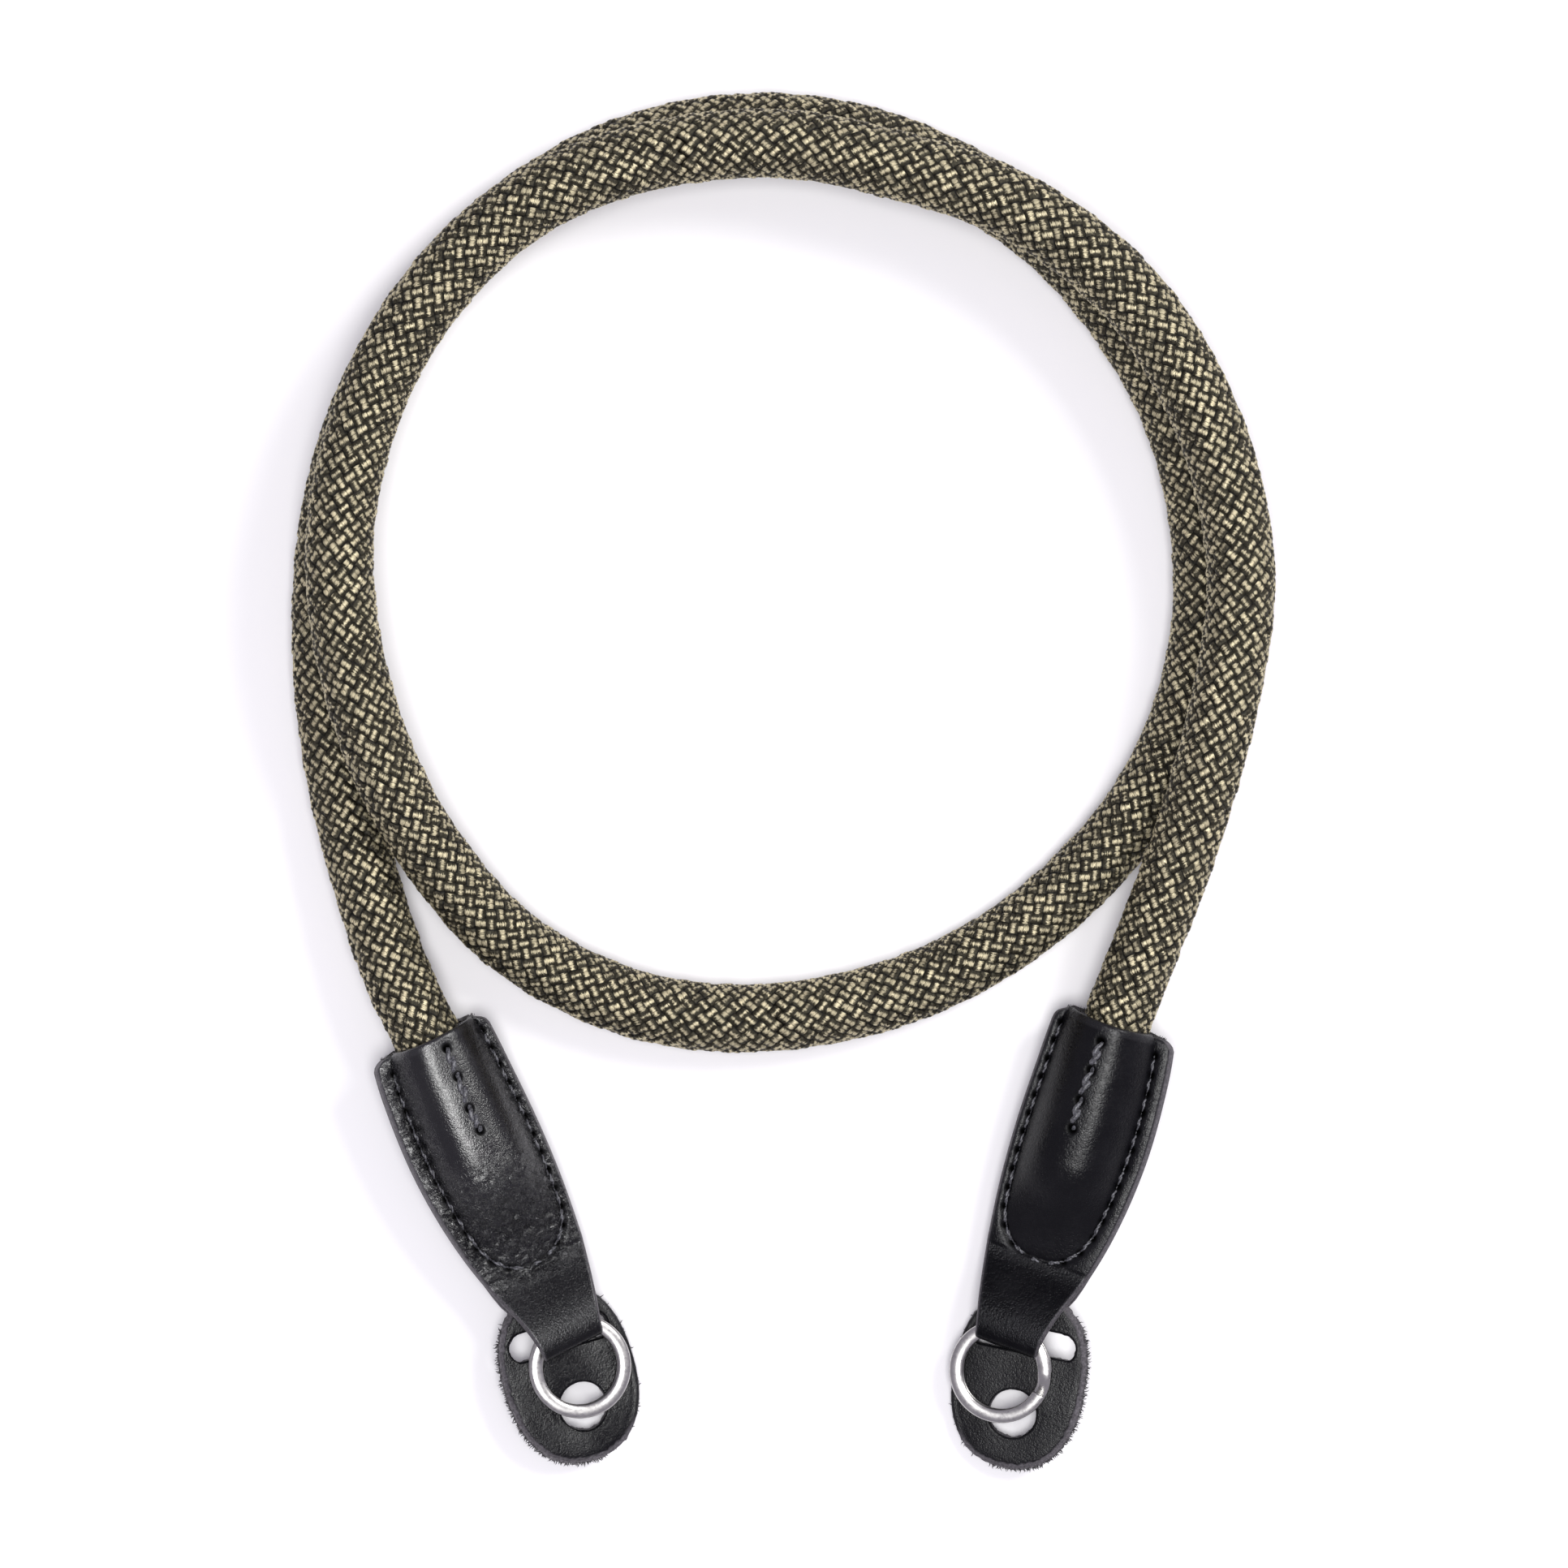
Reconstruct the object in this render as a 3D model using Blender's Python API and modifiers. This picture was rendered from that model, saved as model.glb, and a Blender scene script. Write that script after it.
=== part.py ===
"""Camera neck strap: a braided rope laid in a loose coil, with a leather tab, a split ring and a ring pad at each end.

The origin is on the floor, midway between the two ends. +Z is up, and +Y points from the ends to the coil.
"""

import math
from functools import partial

import bmesh
import bpy
from mathutils import Matrix, Vector

# Driving sizes, in metres
ROPE_DIAMETER = 0.011
ROPE_IN_POCKET = 0.024

TAB_WIDTH = 0.022
TAB_LEATHER = 0.0014
FOLD_LEATHER = 0.001
NECK_WIDTH = 0.0098
POCKET_DEPTH = 0.040
NECK_BEYOND_PAD = 0.00705
SEAM_MARGIN = 0.0022
TAB_BOW = 0.0008

PAD_LENGTH = 0.0293
PAD_WIDTH = 0.0217
PAD_LEATHER = 0.002
PAD_SQUARENESS = 2.3
SLOT_LENGTH = 0.0167
SLOT_HEIGHT = 0.0047
SLOT_ABOVE_CENTRE = 0.0062
LUG_HOLE_DIAMETER = 0.0078
LUG_HOLE_BELOW_CENTRE = 0.0057

RING_OUTER_DIAMETER = 0.0167
RING_WIRE_WIDTH = 0.0022
RING_WIRE_HEIGHT = 0.001
RING_COIL_GAP = 0.00012
RING_PLAY = 0.0012

CLEARANCE = 0.0003
LAYER_GAP = 0.0001

# How far each tab's mouth is raised above its fold, as an angle
TAB_PITCH = math.radians(4.6)

# Where the two ends lie. Each one has its outward edge raised by roll. Outward is -X on the left, +X on the right.
ENDS = [
    {
        "name": "left",
        "outward": -1,
        "fold_x": -0.0320,
        "fold_y": -0.0173,
        "yaw": math.radians(25.4),
        "roll": math.radians(12),
        "ring_shift": 0.0011,
        "ring_slack": 0.00075,
        "slot_shift": 0.0019,
        "slot_above_fold": 0.0024,
        "pad_turn": math.radians(9.2),
        "hole_shift": -0.0007,
    },
    {
        "name": "right",
        "outward": 1,
        "fold_x": 0.0378,
        "fold_y": -0.0175,
        "yaw": math.radians(-18.4),
        "roll": math.radians(-12),
        "ring_shift": 0.0005,
        "ring_slack": 0.0,
        "slot_shift": 0.0025,
        "slot_above_fold": 0.0017,
        "pad_turn": math.radians(8.6),
        "hole_shift": 0.0,
    },
]

# The rope's route between the tabs: x and y in metres, height of its middle in rope diameters
ROPE_ROUTE = [
    (-0.0613, 0.0441, 0.72),
    (-0.0685, 0.0677, 0.57),
    (-0.0721, 0.0900, 0.51),
    (-0.0715, 0.1137, 0.51),
    (-0.0654, 0.1357, 0.51),
    (-0.0513, 0.1575, 0.51),
    (-0.0308, 0.1729, 0.51),
    (-0.0096, 0.1793, 0.51),
    (0.0118, 0.1784, 0.51),
    (0.0324, 0.1703, 0.51),
    (0.0495, 0.1572, 0.51),
    (0.0634, 0.1370, 0.51),
    (0.0694, 0.1163, 0.51),
    (0.0692, 0.0944, 0.51),
    (0.0612, 0.0728, 0.51),
    (0.0455, 0.0544, 0.51),
    (0.0258, 0.0420, 0.51),
    (0.0029, 0.0360, 0.51),
    (-0.0201, 0.0372, 0.51),
    (-0.0410, 0.0470, 0.60),
    (-0.0549, 0.0625, 1.00),
    (-0.0638, 0.0800, 1.42),
    (-0.0689, 0.1009, 1.54),
    (-0.0684, 0.1210, 1.54),
    (-0.0603, 0.1435, 1.54),
    (-0.0445, 0.1624, 1.54),
    (-0.0248, 0.1726, 1.54),
    (-0.0004, 0.1760, 1.53),
    (0.0208, 0.1721, 1.54),
    (0.0391, 0.1657, 1.55),
    (0.0570, 0.1520, 1.54),
    (0.0693, 0.1320, 1.49),
    (0.0748, 0.1093, 1.46),
    (0.0728, 0.0895, 1.50),
    (0.0668, 0.0665, 1.30),
    (0.0601, 0.0477, 0.97),
]
ROPE_POINT_SPACING = 0.011
ROPE_BEVEL_RESOLUTION = 4

# The tab's outline: distance from the fold as a share of the length, half width as a share of the widest
TAB_OUTLINE = [
    (0.00, 0.46),
    (0.06, 0.49),
    (0.14, 0.58),
    (0.28, 0.80),
    (0.45, 0.94),
    (0.64, 1.00),
    (0.82, 0.98),
    (0.975, 0.92),
    (1.00, 0.86),
]

# How far the pocket is filled out: distance from its round bottom as a share of its depth, share of the full height
POCKET_FILL = [
    (0.00, 0.00),
    (0.06, 0.10),
    (0.14, 0.27),
    (0.24, 0.56),
    (0.34, 0.88),
    (0.42, 1.00),
    (1.00, 1.00),
]
POCKET_ROWS = (0.0, 0.03, 0.08, 0.14, 0.20, 0.27, 0.34, 0.42, 0.56, 0.72, 0.88, 0.975, 1.0)
POCKET_BOTTOM_RADIUS = 0.0062

# The strip's path through the ring: distance from the fold's outer edge as a share of the neck's length,
# height as a share of the crest's, and how far its width has grown from the eye's to the outline's
EYE_FRONT = [
    (0.85, 0.30, 1.0),
    (0.68, 0.53, 1.0),
    (0.52, 0.75, 1.0),
    (0.36, 0.92, 1.0),
    (0.22, 1.00, 1.0),
    (0.120, 1.00, 1.0),
    (0.065, 0.93, 1.0),
    (0.045, 0.80, 0.9),
    (0.034, 0.60, 0.1),
    (0.034, 0.34, 0.0),
]

# The same for the way back under the pad, with heights as shares of the depth under the pad
EYE_BACK = [
    (0.048, 0.00, 0.0),
    (0.075, 0.40, 0.0),
    (0.125, 0.76, 0.0),
    (0.210, 1.00, 0.2),
    (0.36, 1.00, 0.7),
    (0.52, 1.00, 0.9),
    (0.66, 1.00, 1.0),
    (0.75, 0.97, 1.0),
    (0.86, 0.60, 1.0),
    (0.94, 0.32, 1.0),
]
TAB_COLUMNS = 16

OVAL_POINTS = 48
HOLE_POINTS = 24
SLOT_END_POINTS = 10
RING_STEPS_PER_TURN = 36
RING_CROSSOVER = math.radians(28)

# Colours and finish: base colour, roughness, metallic
FINISHES = {
    "rope": ((0.10, 0.095, 0.065, 1.0), 0.8, 0.0),
    "leather": ((0.012, 0.012, 0.014, 1.0), 0.45, 0.0),
    "steel": ((0.62, 0.61, 0.60, 1.0), 0.28, 1.0),
}


def clear_scene():
    for obj in list(bpy.data.objects):
        bpy.data.objects.remove(obj, do_unlink=True)


def new_collection(name):
    collection = bpy.data.collections.new(name)
    bpy.context.scene.collection.children.link(collection)
    return collection


def make_material(name):
    colour, roughness, metallic = FINISHES[name]
    material = bpy.data.materials.new(name)
    material.use_nodes = True
    shader = material.node_tree.nodes["Principled BSDF"]
    shader.inputs["Base Color"].default_value = colour
    shader.inputs["Roughness"].default_value = roughness
    shader.inputs["Metallic"].default_value = metallic
    material.diffuse_color = colour
    return material


def interpolate(table, at):
    """The second column's value at a place along the first, by straight lines."""
    for (start, low), (end, high) in zip(table, table[1:]):
        if at <= end:
            return low + (high - low) * (at - start) / (end - start)
    return table[-1][1]


def smooth_path(points, spacing):
    """Points at even steps along a Catmull-Rom curve through the given points."""
    guides = [2 * points[0] - points[1], *points, 2 * points[-1] - points[-2]]
    path = [points[0].copy()]
    for before, start, end, after in zip(guides, guides[1:], guides[2:], guides[3:]):
        steps = max(1, round((end - start).length / spacing))
        for step in range(1, steps + 1):
            t = step / steps
            path.append(
                0.5
                * (
                    2 * start
                    + (end - before) * t
                    + (2 * before - 5 * start + 4 * end - after) * t**2
                    + (3 * start - before - 3 * end + after) * t**3
                )
            )
    return path


# Sizes that follow from the driving ones
RING_HEIGHT = 2 * RING_WIRE_HEIGHT + RING_COIL_GAP
RING_INNER_RADIUS = RING_OUTER_DIAMETER / 2 - RING_WIRE_WIDTH
NECK_LENGTH = PAD_LENGTH / 2 - SLOT_ABOVE_CENTRE + NECK_BEYOND_PAD
TAB_LENGTH = NECK_LENGTH + POCKET_DEPTH
LAYER_HEIGHT = (TAB_LEATHER + LAYER_GAP) / 2
POCKET_HEIGHT = ROPE_DIAMETER / 2 + CLEARANCE + TAB_LEATHER / 2
CREST_HEIGHT = RING_HEIGHT + 3 * CLEARANCE + FOLD_LEATHER
UNDER_PAD = PAD_LEATHER + CLEARANCE + TAB_LEATHER / 2
EYE_HALF_WIDTH = math.sqrt(2 * RING_INNER_RADIUS * RING_PLAY - RING_PLAY**2) - CLEARANCE


def outline_half_width(along):
    share = interpolate(TAB_OUTLINE, along / TAB_LENGTH)
    return max(share * TAB_WIDTH / 2, NECK_WIDTH / 2)


def bow_at(along):
    """How far outward the tab's middle line is bowed. It is bowed most at six tenths of the length."""
    share = along / TAB_LENGTH
    return TAB_BOW * 5.38 * share**1.5 * (1 - share)


def pocket_half_width(along):
    """Half the pocket's width inside the seam, which is a U with a round bottom."""
    depth = along - NECK_LENGTH
    straight = outline_half_width(along) - SEAM_MARGIN
    if depth >= POCKET_BOTTOM_RADIUS:
        return straight
    rounded = math.sqrt(max(POCKET_BOTTOM_RADIUS**2 - (POCKET_BOTTOM_RADIUS - depth) ** 2, 0.0))
    return min(straight, max(rounded, 0.001))


def dome(share):
    """Height of taut leather over the rope, from 1 at the middle to 0 at the seam."""
    return max(1 - abs(share) ** 2.2, 0.0) ** 1.15


def pocket_height(along, across):
    """Height of the front layer's middle above the seam's plane."""
    fill = interpolate(POCKET_FILL, (along - NECK_LENGTH) / POCKET_DEPTH)
    share = min(abs(across) / pocket_half_width(along), 1.0)
    return LAYER_HEIGHT + fill * (POCKET_HEIGHT - LAYER_HEIGHT) * dome(share)


def back_height(along, across):
    return -pocket_height(along, across)


def flat_height(level, across):
    return level


def strip_rows(end):
    """Rows of the folded strip from the front layer's mouth, through the ring, to the back layer's mouth.

    Each row is a place along the tab, how far outward its middle is, a function for its height across, a half width
    and a share of full thickness.
    """
    rows = []
    pocket_rows = [NECK_LENGTH + share * POCKET_DEPTH for share in POCKET_ROWS]
    for along in reversed(pocket_rows):
        height = partial(pocket_height, along)
        rows.append((along, bow_at(along), height, outline_half_width(along), 1.0))
    thin = FOLD_LEATHER / TAB_LEATHER
    for table, height in ((EYE_FRONT, CREST_HEIGHT), (EYE_BACK, -UNDER_PAD)):
        for share, level, spread in table:
            along = share * NECK_LENGTH + (1 - spread) * end["ring_slack"]
            half_width = EYE_HALF_WIDTH + spread * (outline_half_width(along) - EYE_HALF_WIDTH)
            thickness = thin + (1 - thin) * min(share / 0.3, 1.0)
            middle = bow_at(along) + (1 - share) * end["ring_shift"]
            rows.append((along, middle, partial(flat_height, level * height), half_width, thickness))
    for along in pocket_rows:
        height = partial(back_height, along)
        rows.append((along, bow_at(along), height, outline_half_width(along), 1.0))
    return rows


def make_tab(end, material):
    """One leather strip folded round the ring, as an open surface with its leather added by Solidify."""
    mesh = bpy.data.meshes.new("end_tab_" + end["name"])
    shape = bmesh.new()
    layer = shape.verts.layers.deform.verify()
    grid = []
    for along, shift, height, half_width, thickness in strip_rows(end):
        middle = end["outward"] * shift
        row = []
        for column in range(TAB_COLUMNS + 1):
            across = half_width * (2 * column / TAB_COLUMNS - 1)
            vert = shape.verts.new((middle + across, along, height(across)))
            vert[layer][0] = thickness
            row.append(vert)
        grid.append(row)
    for row, following in zip(grid, grid[1:]):
        for column in range(TAB_COLUMNS):
            shape.faces.new((row[column], row[column + 1], following[column + 1], following[column]))
    bmesh.ops.recalc_face_normals(shape, faces=shape.faces)
    shape.to_mesh(mesh)
    shape.free()
    mesh.materials.append(material)
    mesh.shade_smooth()
    tab = bpy.data.objects.new(mesh.name, mesh)
    tab.vertex_groups.new(name="thickness")
    leather = tab.modifiers.new("leather", "SOLIDIFY")
    leather.thickness = TAB_LEATHER
    leather.offset = 0.0
    leather.vertex_group = "thickness"
    leather.use_even_offset = True
    return tab


def oval_points(length, width, squareness, count):
    """A superellipse, longer along Y."""
    points = []
    for step in range(count):
        angle = 2 * math.pi * step / count
        x = abs(math.cos(angle)) ** (2 / squareness) * math.copysign(width / 2, math.cos(angle))
        y = abs(math.sin(angle)) ** (2 / squareness) * math.copysign(length / 2, math.sin(angle))
        points.append((x, y))
    return points


def slot_points(length, height, centre_y):
    """A slot along X with round ends."""
    radius = height / 2
    reach = length / 2 - radius
    points = []
    for side in (1, -1):
        for step in range(SLOT_END_POINTS + 1):
            angle = math.pi * (step / SLOT_END_POINTS - 0.5)
            points.append((side * (reach + radius * math.cos(angle)), centre_y + side * radius * math.sin(angle)))
    return points


def add_outline(curve, points):
    points = list(points)
    spline = curve.splines.new("POLY")
    spline.points.add(len(points) - 1)
    for point, (x, y) in zip(spline.points, points):
        point.co = (x, y, 0.0, 1.0)
    spline.use_cyclic_u = True


def make_pad(end, material):
    """An oval leather pad with a slot for the strip and a round hole for the camera's lug."""
    curve = bpy.data.curves.new("ring_pad_" + end["name"], "CURVE")
    curve.dimensions = "2D"
    curve.fill_mode = "BOTH"
    curve.extrude = PAD_LEATHER / 2
    add_outline(curve, oval_points(PAD_LENGTH, PAD_WIDTH, PAD_SQUARENESS, OVAL_POINTS))
    add_outline(curve, slot_points(SLOT_LENGTH, SLOT_HEIGHT, SLOT_ABOVE_CENTRE))
    hole = oval_points(LUG_HOLE_DIAMETER, LUG_HOLE_DIAMETER, 2, HOLE_POINTS)
    shift = end["outward"] * end["hole_shift"]
    add_outline(curve, [(x + shift, y - LUG_HOLE_BELOW_CENTRE) for x, y in hole])
    curve.materials.append(material)
    return bpy.data.objects.new(curve.name, curve)


def make_wire_profile(collection):
    """The flattened wire's cross-section, with its upper and lower sides rounded off."""
    curve = bpy.data.curves.new("wire_profile", "CURVE")
    curve.dimensions = "2D"
    add_outline(curve, reversed(oval_points(RING_WIRE_HEIGHT, RING_WIRE_WIDTH, 3, 12)))
    profile = bpy.data.objects.new(curve.name, curve)
    profile.hide_render = True
    profile.display_type = "WIRE"
    collection.objects.link(profile)
    return profile


def ring_points():
    """The middle of a wire that makes two turns, and climbs from the lower to the upper one at a crossover."""
    radius = (RING_OUTER_DIAMETER - RING_WIRE_WIDTH) / 2
    climb = RING_WIRE_HEIGHT + RING_COIL_GAP
    total = 4 * math.pi - RING_CROSSOVER
    steps = round(RING_STEPS_PER_TURN * total / (2 * math.pi))
    points = []
    for step in range(steps + 1):
        angle = RING_CROSSOVER + total * step / steps
        share = (angle - 2 * math.pi) / RING_CROSSOVER
        share = min(max(share, 0.0), 1.0)
        level = RING_WIRE_HEIGHT / 2 + climb * share**2 * (3 - 2 * share)
        points.append(Vector((radius * math.cos(angle), radius * math.sin(angle), level)))
    return points


def open_curve(name, points, material):
    curve = bpy.data.curves.new(name, "CURVE")
    curve.dimensions = "3D"
    curve.use_fill_caps = True
    spline = curve.splines.new("POLY")
    spline.points.add(len(points) - 1)
    for point, place in zip(spline.points, points):
        point.co = (*place, 1.0)
    spline.use_smooth = True
    curve.materials.append(material)
    return curve


def make_ring(end, profile, material):
    curve = open_curve("split_ring_" + end["name"], ring_points(), material)
    curve.bevel_mode = "OBJECT"
    curve.bevel_object = profile
    curve.twist_mode = "Z_UP"
    return bpy.data.objects.new(curve.name, curve)


def ring_matrix(end):
    """Where the ring lies in its end's frame: on the pad, with the fold inside it."""
    ring_y = FOLD_LEATHER + RING_PLAY + end["ring_slack"] - RING_INNER_RADIUS
    middle = (end["outward"] * end["ring_shift"], ring_y, CLEARANCE)
    return Matrix.Translation(middle) @ Matrix.Rotation(-math.pi / 2, 4, "Z")


def pad_matrix(end):
    """Where the pad lies in its end's frame. It is turned about its slot."""
    turn = Matrix.Rotation(end["outward"] * end["pad_turn"], 4, "Z")
    slot = (end["outward"] * end["slot_shift"], end["slot_above_fold"], -PAD_LEATHER / 2)
    return Matrix.Translation(slot) @ turn @ Matrix.Translation((0.0, -SLOT_ABOVE_CENTRE, 0.0))


def lowest_points(end):
    """Points of an end, in its own frame, that can touch the floor: the pad's rim and the underside of the strip."""
    pad = pad_matrix(end)
    rim = oval_points(PAD_LENGTH, PAD_WIDTH, PAD_SQUARENESS, OVAL_POINTS)
    points = [pad @ Vector((x, y, -PAD_LEATHER / 2)) for x, y in rim]
    for along, shift, height, half_width, thickness in strip_rows(end):
        for column in range(TAB_COLUMNS + 1):
            across = half_width * (2 * column / TAB_COLUMNS - 1)
            level = height(across) - thickness * TAB_LEATHER / 2
            points.append(Vector((end["outward"] * shift + across, along, level)))
    return points


def end_matrix(end):
    """The frame of one end: its origin at the fold's outer edge, +Y to the mouth, +Z out of the front layer."""
    turn = (
        Matrix.Rotation(end["yaw"], 4, "Z")
        @ Matrix.Rotation(TAB_PITCH, 4, "X")
        @ Matrix.Rotation(end["roll"], 4, "Y")
    )
    height = -min((turn @ point).z for point in lowest_points(end))
    return Matrix.Translation((end["fold_x"], end["fold_y"], height)) @ turn


def place(obj, frame, collection, matrix):
    collection.objects.link(obj)
    obj.parent = frame
    obj.matrix_local = matrix


def make_end(end, collection, profile, materials):
    """The tab, ring and pad of one end, parented to an empty in that end's frame."""
    frame = bpy.data.objects.new("end_frame_" + end["name"], None)
    frame.matrix_world = end_matrix(end)
    collection.objects.link(frame)
    place(make_tab(end, materials["leather"]), frame, collection, Matrix())
    place(make_ring(end, profile, materials["steel"]), frame, collection, ring_matrix(end))
    place(make_pad(end, materials["leather"]), frame, collection, pad_matrix(end))


def rope_end(end, inset):
    """A point on the pocket's middle line, inset from its mouth."""
    along = TAB_LENGTH - inset
    return end_matrix(end) @ Vector((end["outward"] * bow_at(along), along, 0.0))


def make_rope(collection, material):
    left, right = ENDS
    route = [Vector((x, y, height * ROPE_DIAMETER)) for x, y, height in ROPE_ROUTE]
    route[:0] = [rope_end(left, ROPE_IN_POCKET), rope_end(left, 0.0)]
    route += [rope_end(right, 0.0), rope_end(right, ROPE_IN_POCKET)]
    curve = open_curve("rope", smooth_path(route, ROPE_POINT_SPACING), material)
    curve.bevel_depth = ROPE_DIAMETER / 2
    curve.bevel_resolution = ROPE_BEVEL_RESOLUTION
    collection.objects.link(bpy.data.objects.new("rope", curve))


def main():
    clear_scene()
    strap = new_collection("camera_neck_strap")
    guides = new_collection("guides")
    materials = {name: make_material(name) for name in FINISHES}
    profile = make_wire_profile(guides)
    for end in ENDS:
        make_end(end, strap, profile, materials)
    make_rope(strap, materials["rope"])
    bpy.context.view_layer.update()


main()
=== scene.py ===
"""Camera neck strap: the look of a braided rope strap with sewn leather ends, split rings and ring pads.

It is laid out as an add-on and run as a script. Everything is in metres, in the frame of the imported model.
"""

import math
from functools import partial

import bpy
import numpy as np
from mathutils import Matrix, Vector, noise


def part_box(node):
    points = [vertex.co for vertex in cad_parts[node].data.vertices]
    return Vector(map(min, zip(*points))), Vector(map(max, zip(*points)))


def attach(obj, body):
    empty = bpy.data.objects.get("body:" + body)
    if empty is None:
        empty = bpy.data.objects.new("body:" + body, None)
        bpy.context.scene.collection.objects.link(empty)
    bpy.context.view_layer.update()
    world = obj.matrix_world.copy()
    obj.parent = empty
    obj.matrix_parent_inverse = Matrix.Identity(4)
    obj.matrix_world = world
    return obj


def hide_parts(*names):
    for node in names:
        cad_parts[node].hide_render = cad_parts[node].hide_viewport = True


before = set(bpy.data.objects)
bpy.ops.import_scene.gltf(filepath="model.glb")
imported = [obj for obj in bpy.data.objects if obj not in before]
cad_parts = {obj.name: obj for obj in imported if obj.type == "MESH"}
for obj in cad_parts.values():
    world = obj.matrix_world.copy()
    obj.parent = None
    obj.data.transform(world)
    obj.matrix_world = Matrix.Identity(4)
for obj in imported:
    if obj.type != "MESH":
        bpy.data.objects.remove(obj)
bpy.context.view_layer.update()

bl_info = {
    "name": "Camera neck strap",
    "version": (1, 0, 0),
    "blender": (4, 5, 0),
    "location": "View3D > Sidebar > Strap",
    "description": "Builds a braided rope camera strap with sewn leather ends",
    "category": "Add Mesh",
}

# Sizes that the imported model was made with, in metres
ROPE_DIAMETER = 0.011
ROPE_IN_POCKET = 0.024
TAB_WIDTH = 0.022
TAB_LEATHER = 0.0014
FOLD_LEATHER = 0.001
NECK_WIDTH = 0.0098
NECK_LENGTH = 0.0155
TAB_LENGTH = 0.0555
POCKET_DEPTH = 0.040
TAB_BOW = 0.0008
PAD_LENGTH = 0.0293
PAD_WIDTH = 0.0217
PAD_LEATHER = 0.002
PAD_SQUARENESS = 2.3
SLOT_LENGTH = 0.0167
SLOT_HEIGHT = 0.0047
SLOT_ABOVE_CENTRE = 0.0062
LUG_HOLE_DIAMETER = 0.0078
LUG_HOLE_BELOW_CENTRE = 0.0057
RING_OUTER_DIAMETER = 0.0167
RING_WIRE_WIDTH = 0.0022
RING_WIRE_HEIGHT = 0.001
RING_COIL_GAP = 0.00012
RING_PLAY = 0.0012
CLEARANCE = 0.0003
LAYER_GAP = 0.0001
TAB_PITCH = math.radians(4.6)

RING_INNER_RADIUS = RING_OUTER_DIAMETER / 2 - RING_WIRE_WIDTH
RING_HEIGHT = 2 * RING_WIRE_HEIGHT + RING_COIL_GAP
LAYER_HEIGHT = (TAB_LEATHER + LAYER_GAP) / 2
POCKET_HEIGHT = ROPE_DIAMETER / 2 + CLEARANCE + TAB_LEATHER / 2
CREST_HEIGHT = RING_HEIGHT + 3 * CLEARANCE + FOLD_LEATHER
UNDER_PAD = PAD_LEATHER + CLEARANCE + TAB_LEATHER / 2
EYE_HALF_WIDTH = math.sqrt(2 * RING_INNER_RADIUS * RING_PLAY - RING_PLAY**2) - CLEARANCE

# Where the two ends lie, how each is shaped and worn, and the stitches in the middle of each tab
ENDS = [
    {
        "name": "left",
        "outward": -1,
        "fold_x": -0.0320,
        "fold_y": -0.0173,
        "yaw": math.radians(25.4),
        "roll": math.radians(12),
        "ring_shift": 0.0011,
        "ring_slack": 0.00075,
        "slot_shift": 0.0019,
        "slot_above_fold": 0.0024,
        "pad_turn": math.radians(9.2),
        "hole_shift": -0.0007,
        "height": 0.0,
        "ring_turn": math.radians(140),
        "slot_raise": 0.0003,
        "pad_swell": 0.00040,
        "pocket_flatness": 2.9,
        "creased": True,
        "tab_gloss": 0.24,
        "pad_gloss": 0.27,
        "fibre_seed": 5,
        "middle_stitches": [(0.0532, 0.0012), (0.0483, 0.0011), (0.0429, 0.0008), (0.0390, 0.0009)],
    },
    {
        "name": "right",
        "outward": 1,
        "fold_x": 0.0378,
        "fold_y": -0.0175,
        "yaw": math.radians(-18.4),
        "roll": math.radians(-12),
        "ring_shift": 0.0005,
        "ring_slack": 0.0,
        "slot_shift": 0.0025,
        "slot_above_fold": 0.0017,
        "pad_turn": math.radians(8.6),
        "hole_shift": 0.0,
        "height": 0.0,
        "ring_turn": math.radians(80),
        "slot_raise": 0.0007,
        "pad_swell": 0.00018,
        "pocket_flatness": 2.4,
        "creased": False,
        "tab_gloss": 0.27,
        "pad_gloss": 0.32,
        "fibre_seed": 11,
        "middle_stitches": [(0.0525, -0.0006), (0.0476, -0.0009), (0.0425, -0.0012), (0.0378, -0.0010)],
    },
]

# The rope's route between the tabs: x and y in metres, height of its middle in rope diameters
ROPE_ROUTE = [
    (-0.0613, 0.0441, 0.72),
    (-0.0685, 0.0677, 0.57),
    (-0.0721, 0.0900, 0.51),
    (-0.0715, 0.1137, 0.51),
    (-0.0654, 0.1357, 0.51),
    (-0.0513, 0.1575, 0.51),
    (-0.0308, 0.1729, 0.51),
    (-0.0096, 0.1793, 0.51),
    (0.0118, 0.1784, 0.51),
    (0.0324, 0.1703, 0.51),
    (0.0495, 0.1572, 0.51),
    (0.0634, 0.1370, 0.51),
    (0.0694, 0.1163, 0.51),
    (0.0692, 0.0944, 0.51),
    (0.0612, 0.0728, 0.51),
    (0.0455, 0.0544, 0.51),
    (0.0258, 0.0420, 0.51),
    (0.0029, 0.0360, 0.51),
    (-0.0201, 0.0372, 0.51),
    (-0.0410, 0.0470, 0.60),
    (-0.0549, 0.0625, 1.00),
    (-0.0638, 0.0800, 1.42),
    (-0.0689, 0.1009, 1.54),
    (-0.0684, 0.1210, 1.54),
    (-0.0603, 0.1435, 1.54),
    (-0.0445, 0.1624, 1.54),
    (-0.0248, 0.1726, 1.54),
    (-0.0004, 0.1760, 1.53),
    (0.0208, 0.1721, 1.54),
    (0.0391, 0.1657, 1.55),
    (0.0570, 0.1520, 1.54),
    (0.0693, 0.1320, 1.49),
    (0.0748, 0.1093, 1.46),
    (0.0728, 0.0895, 1.50),
    (0.0668, 0.0665, 1.30),
    (0.0601, 0.0477, 0.97),
]

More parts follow.
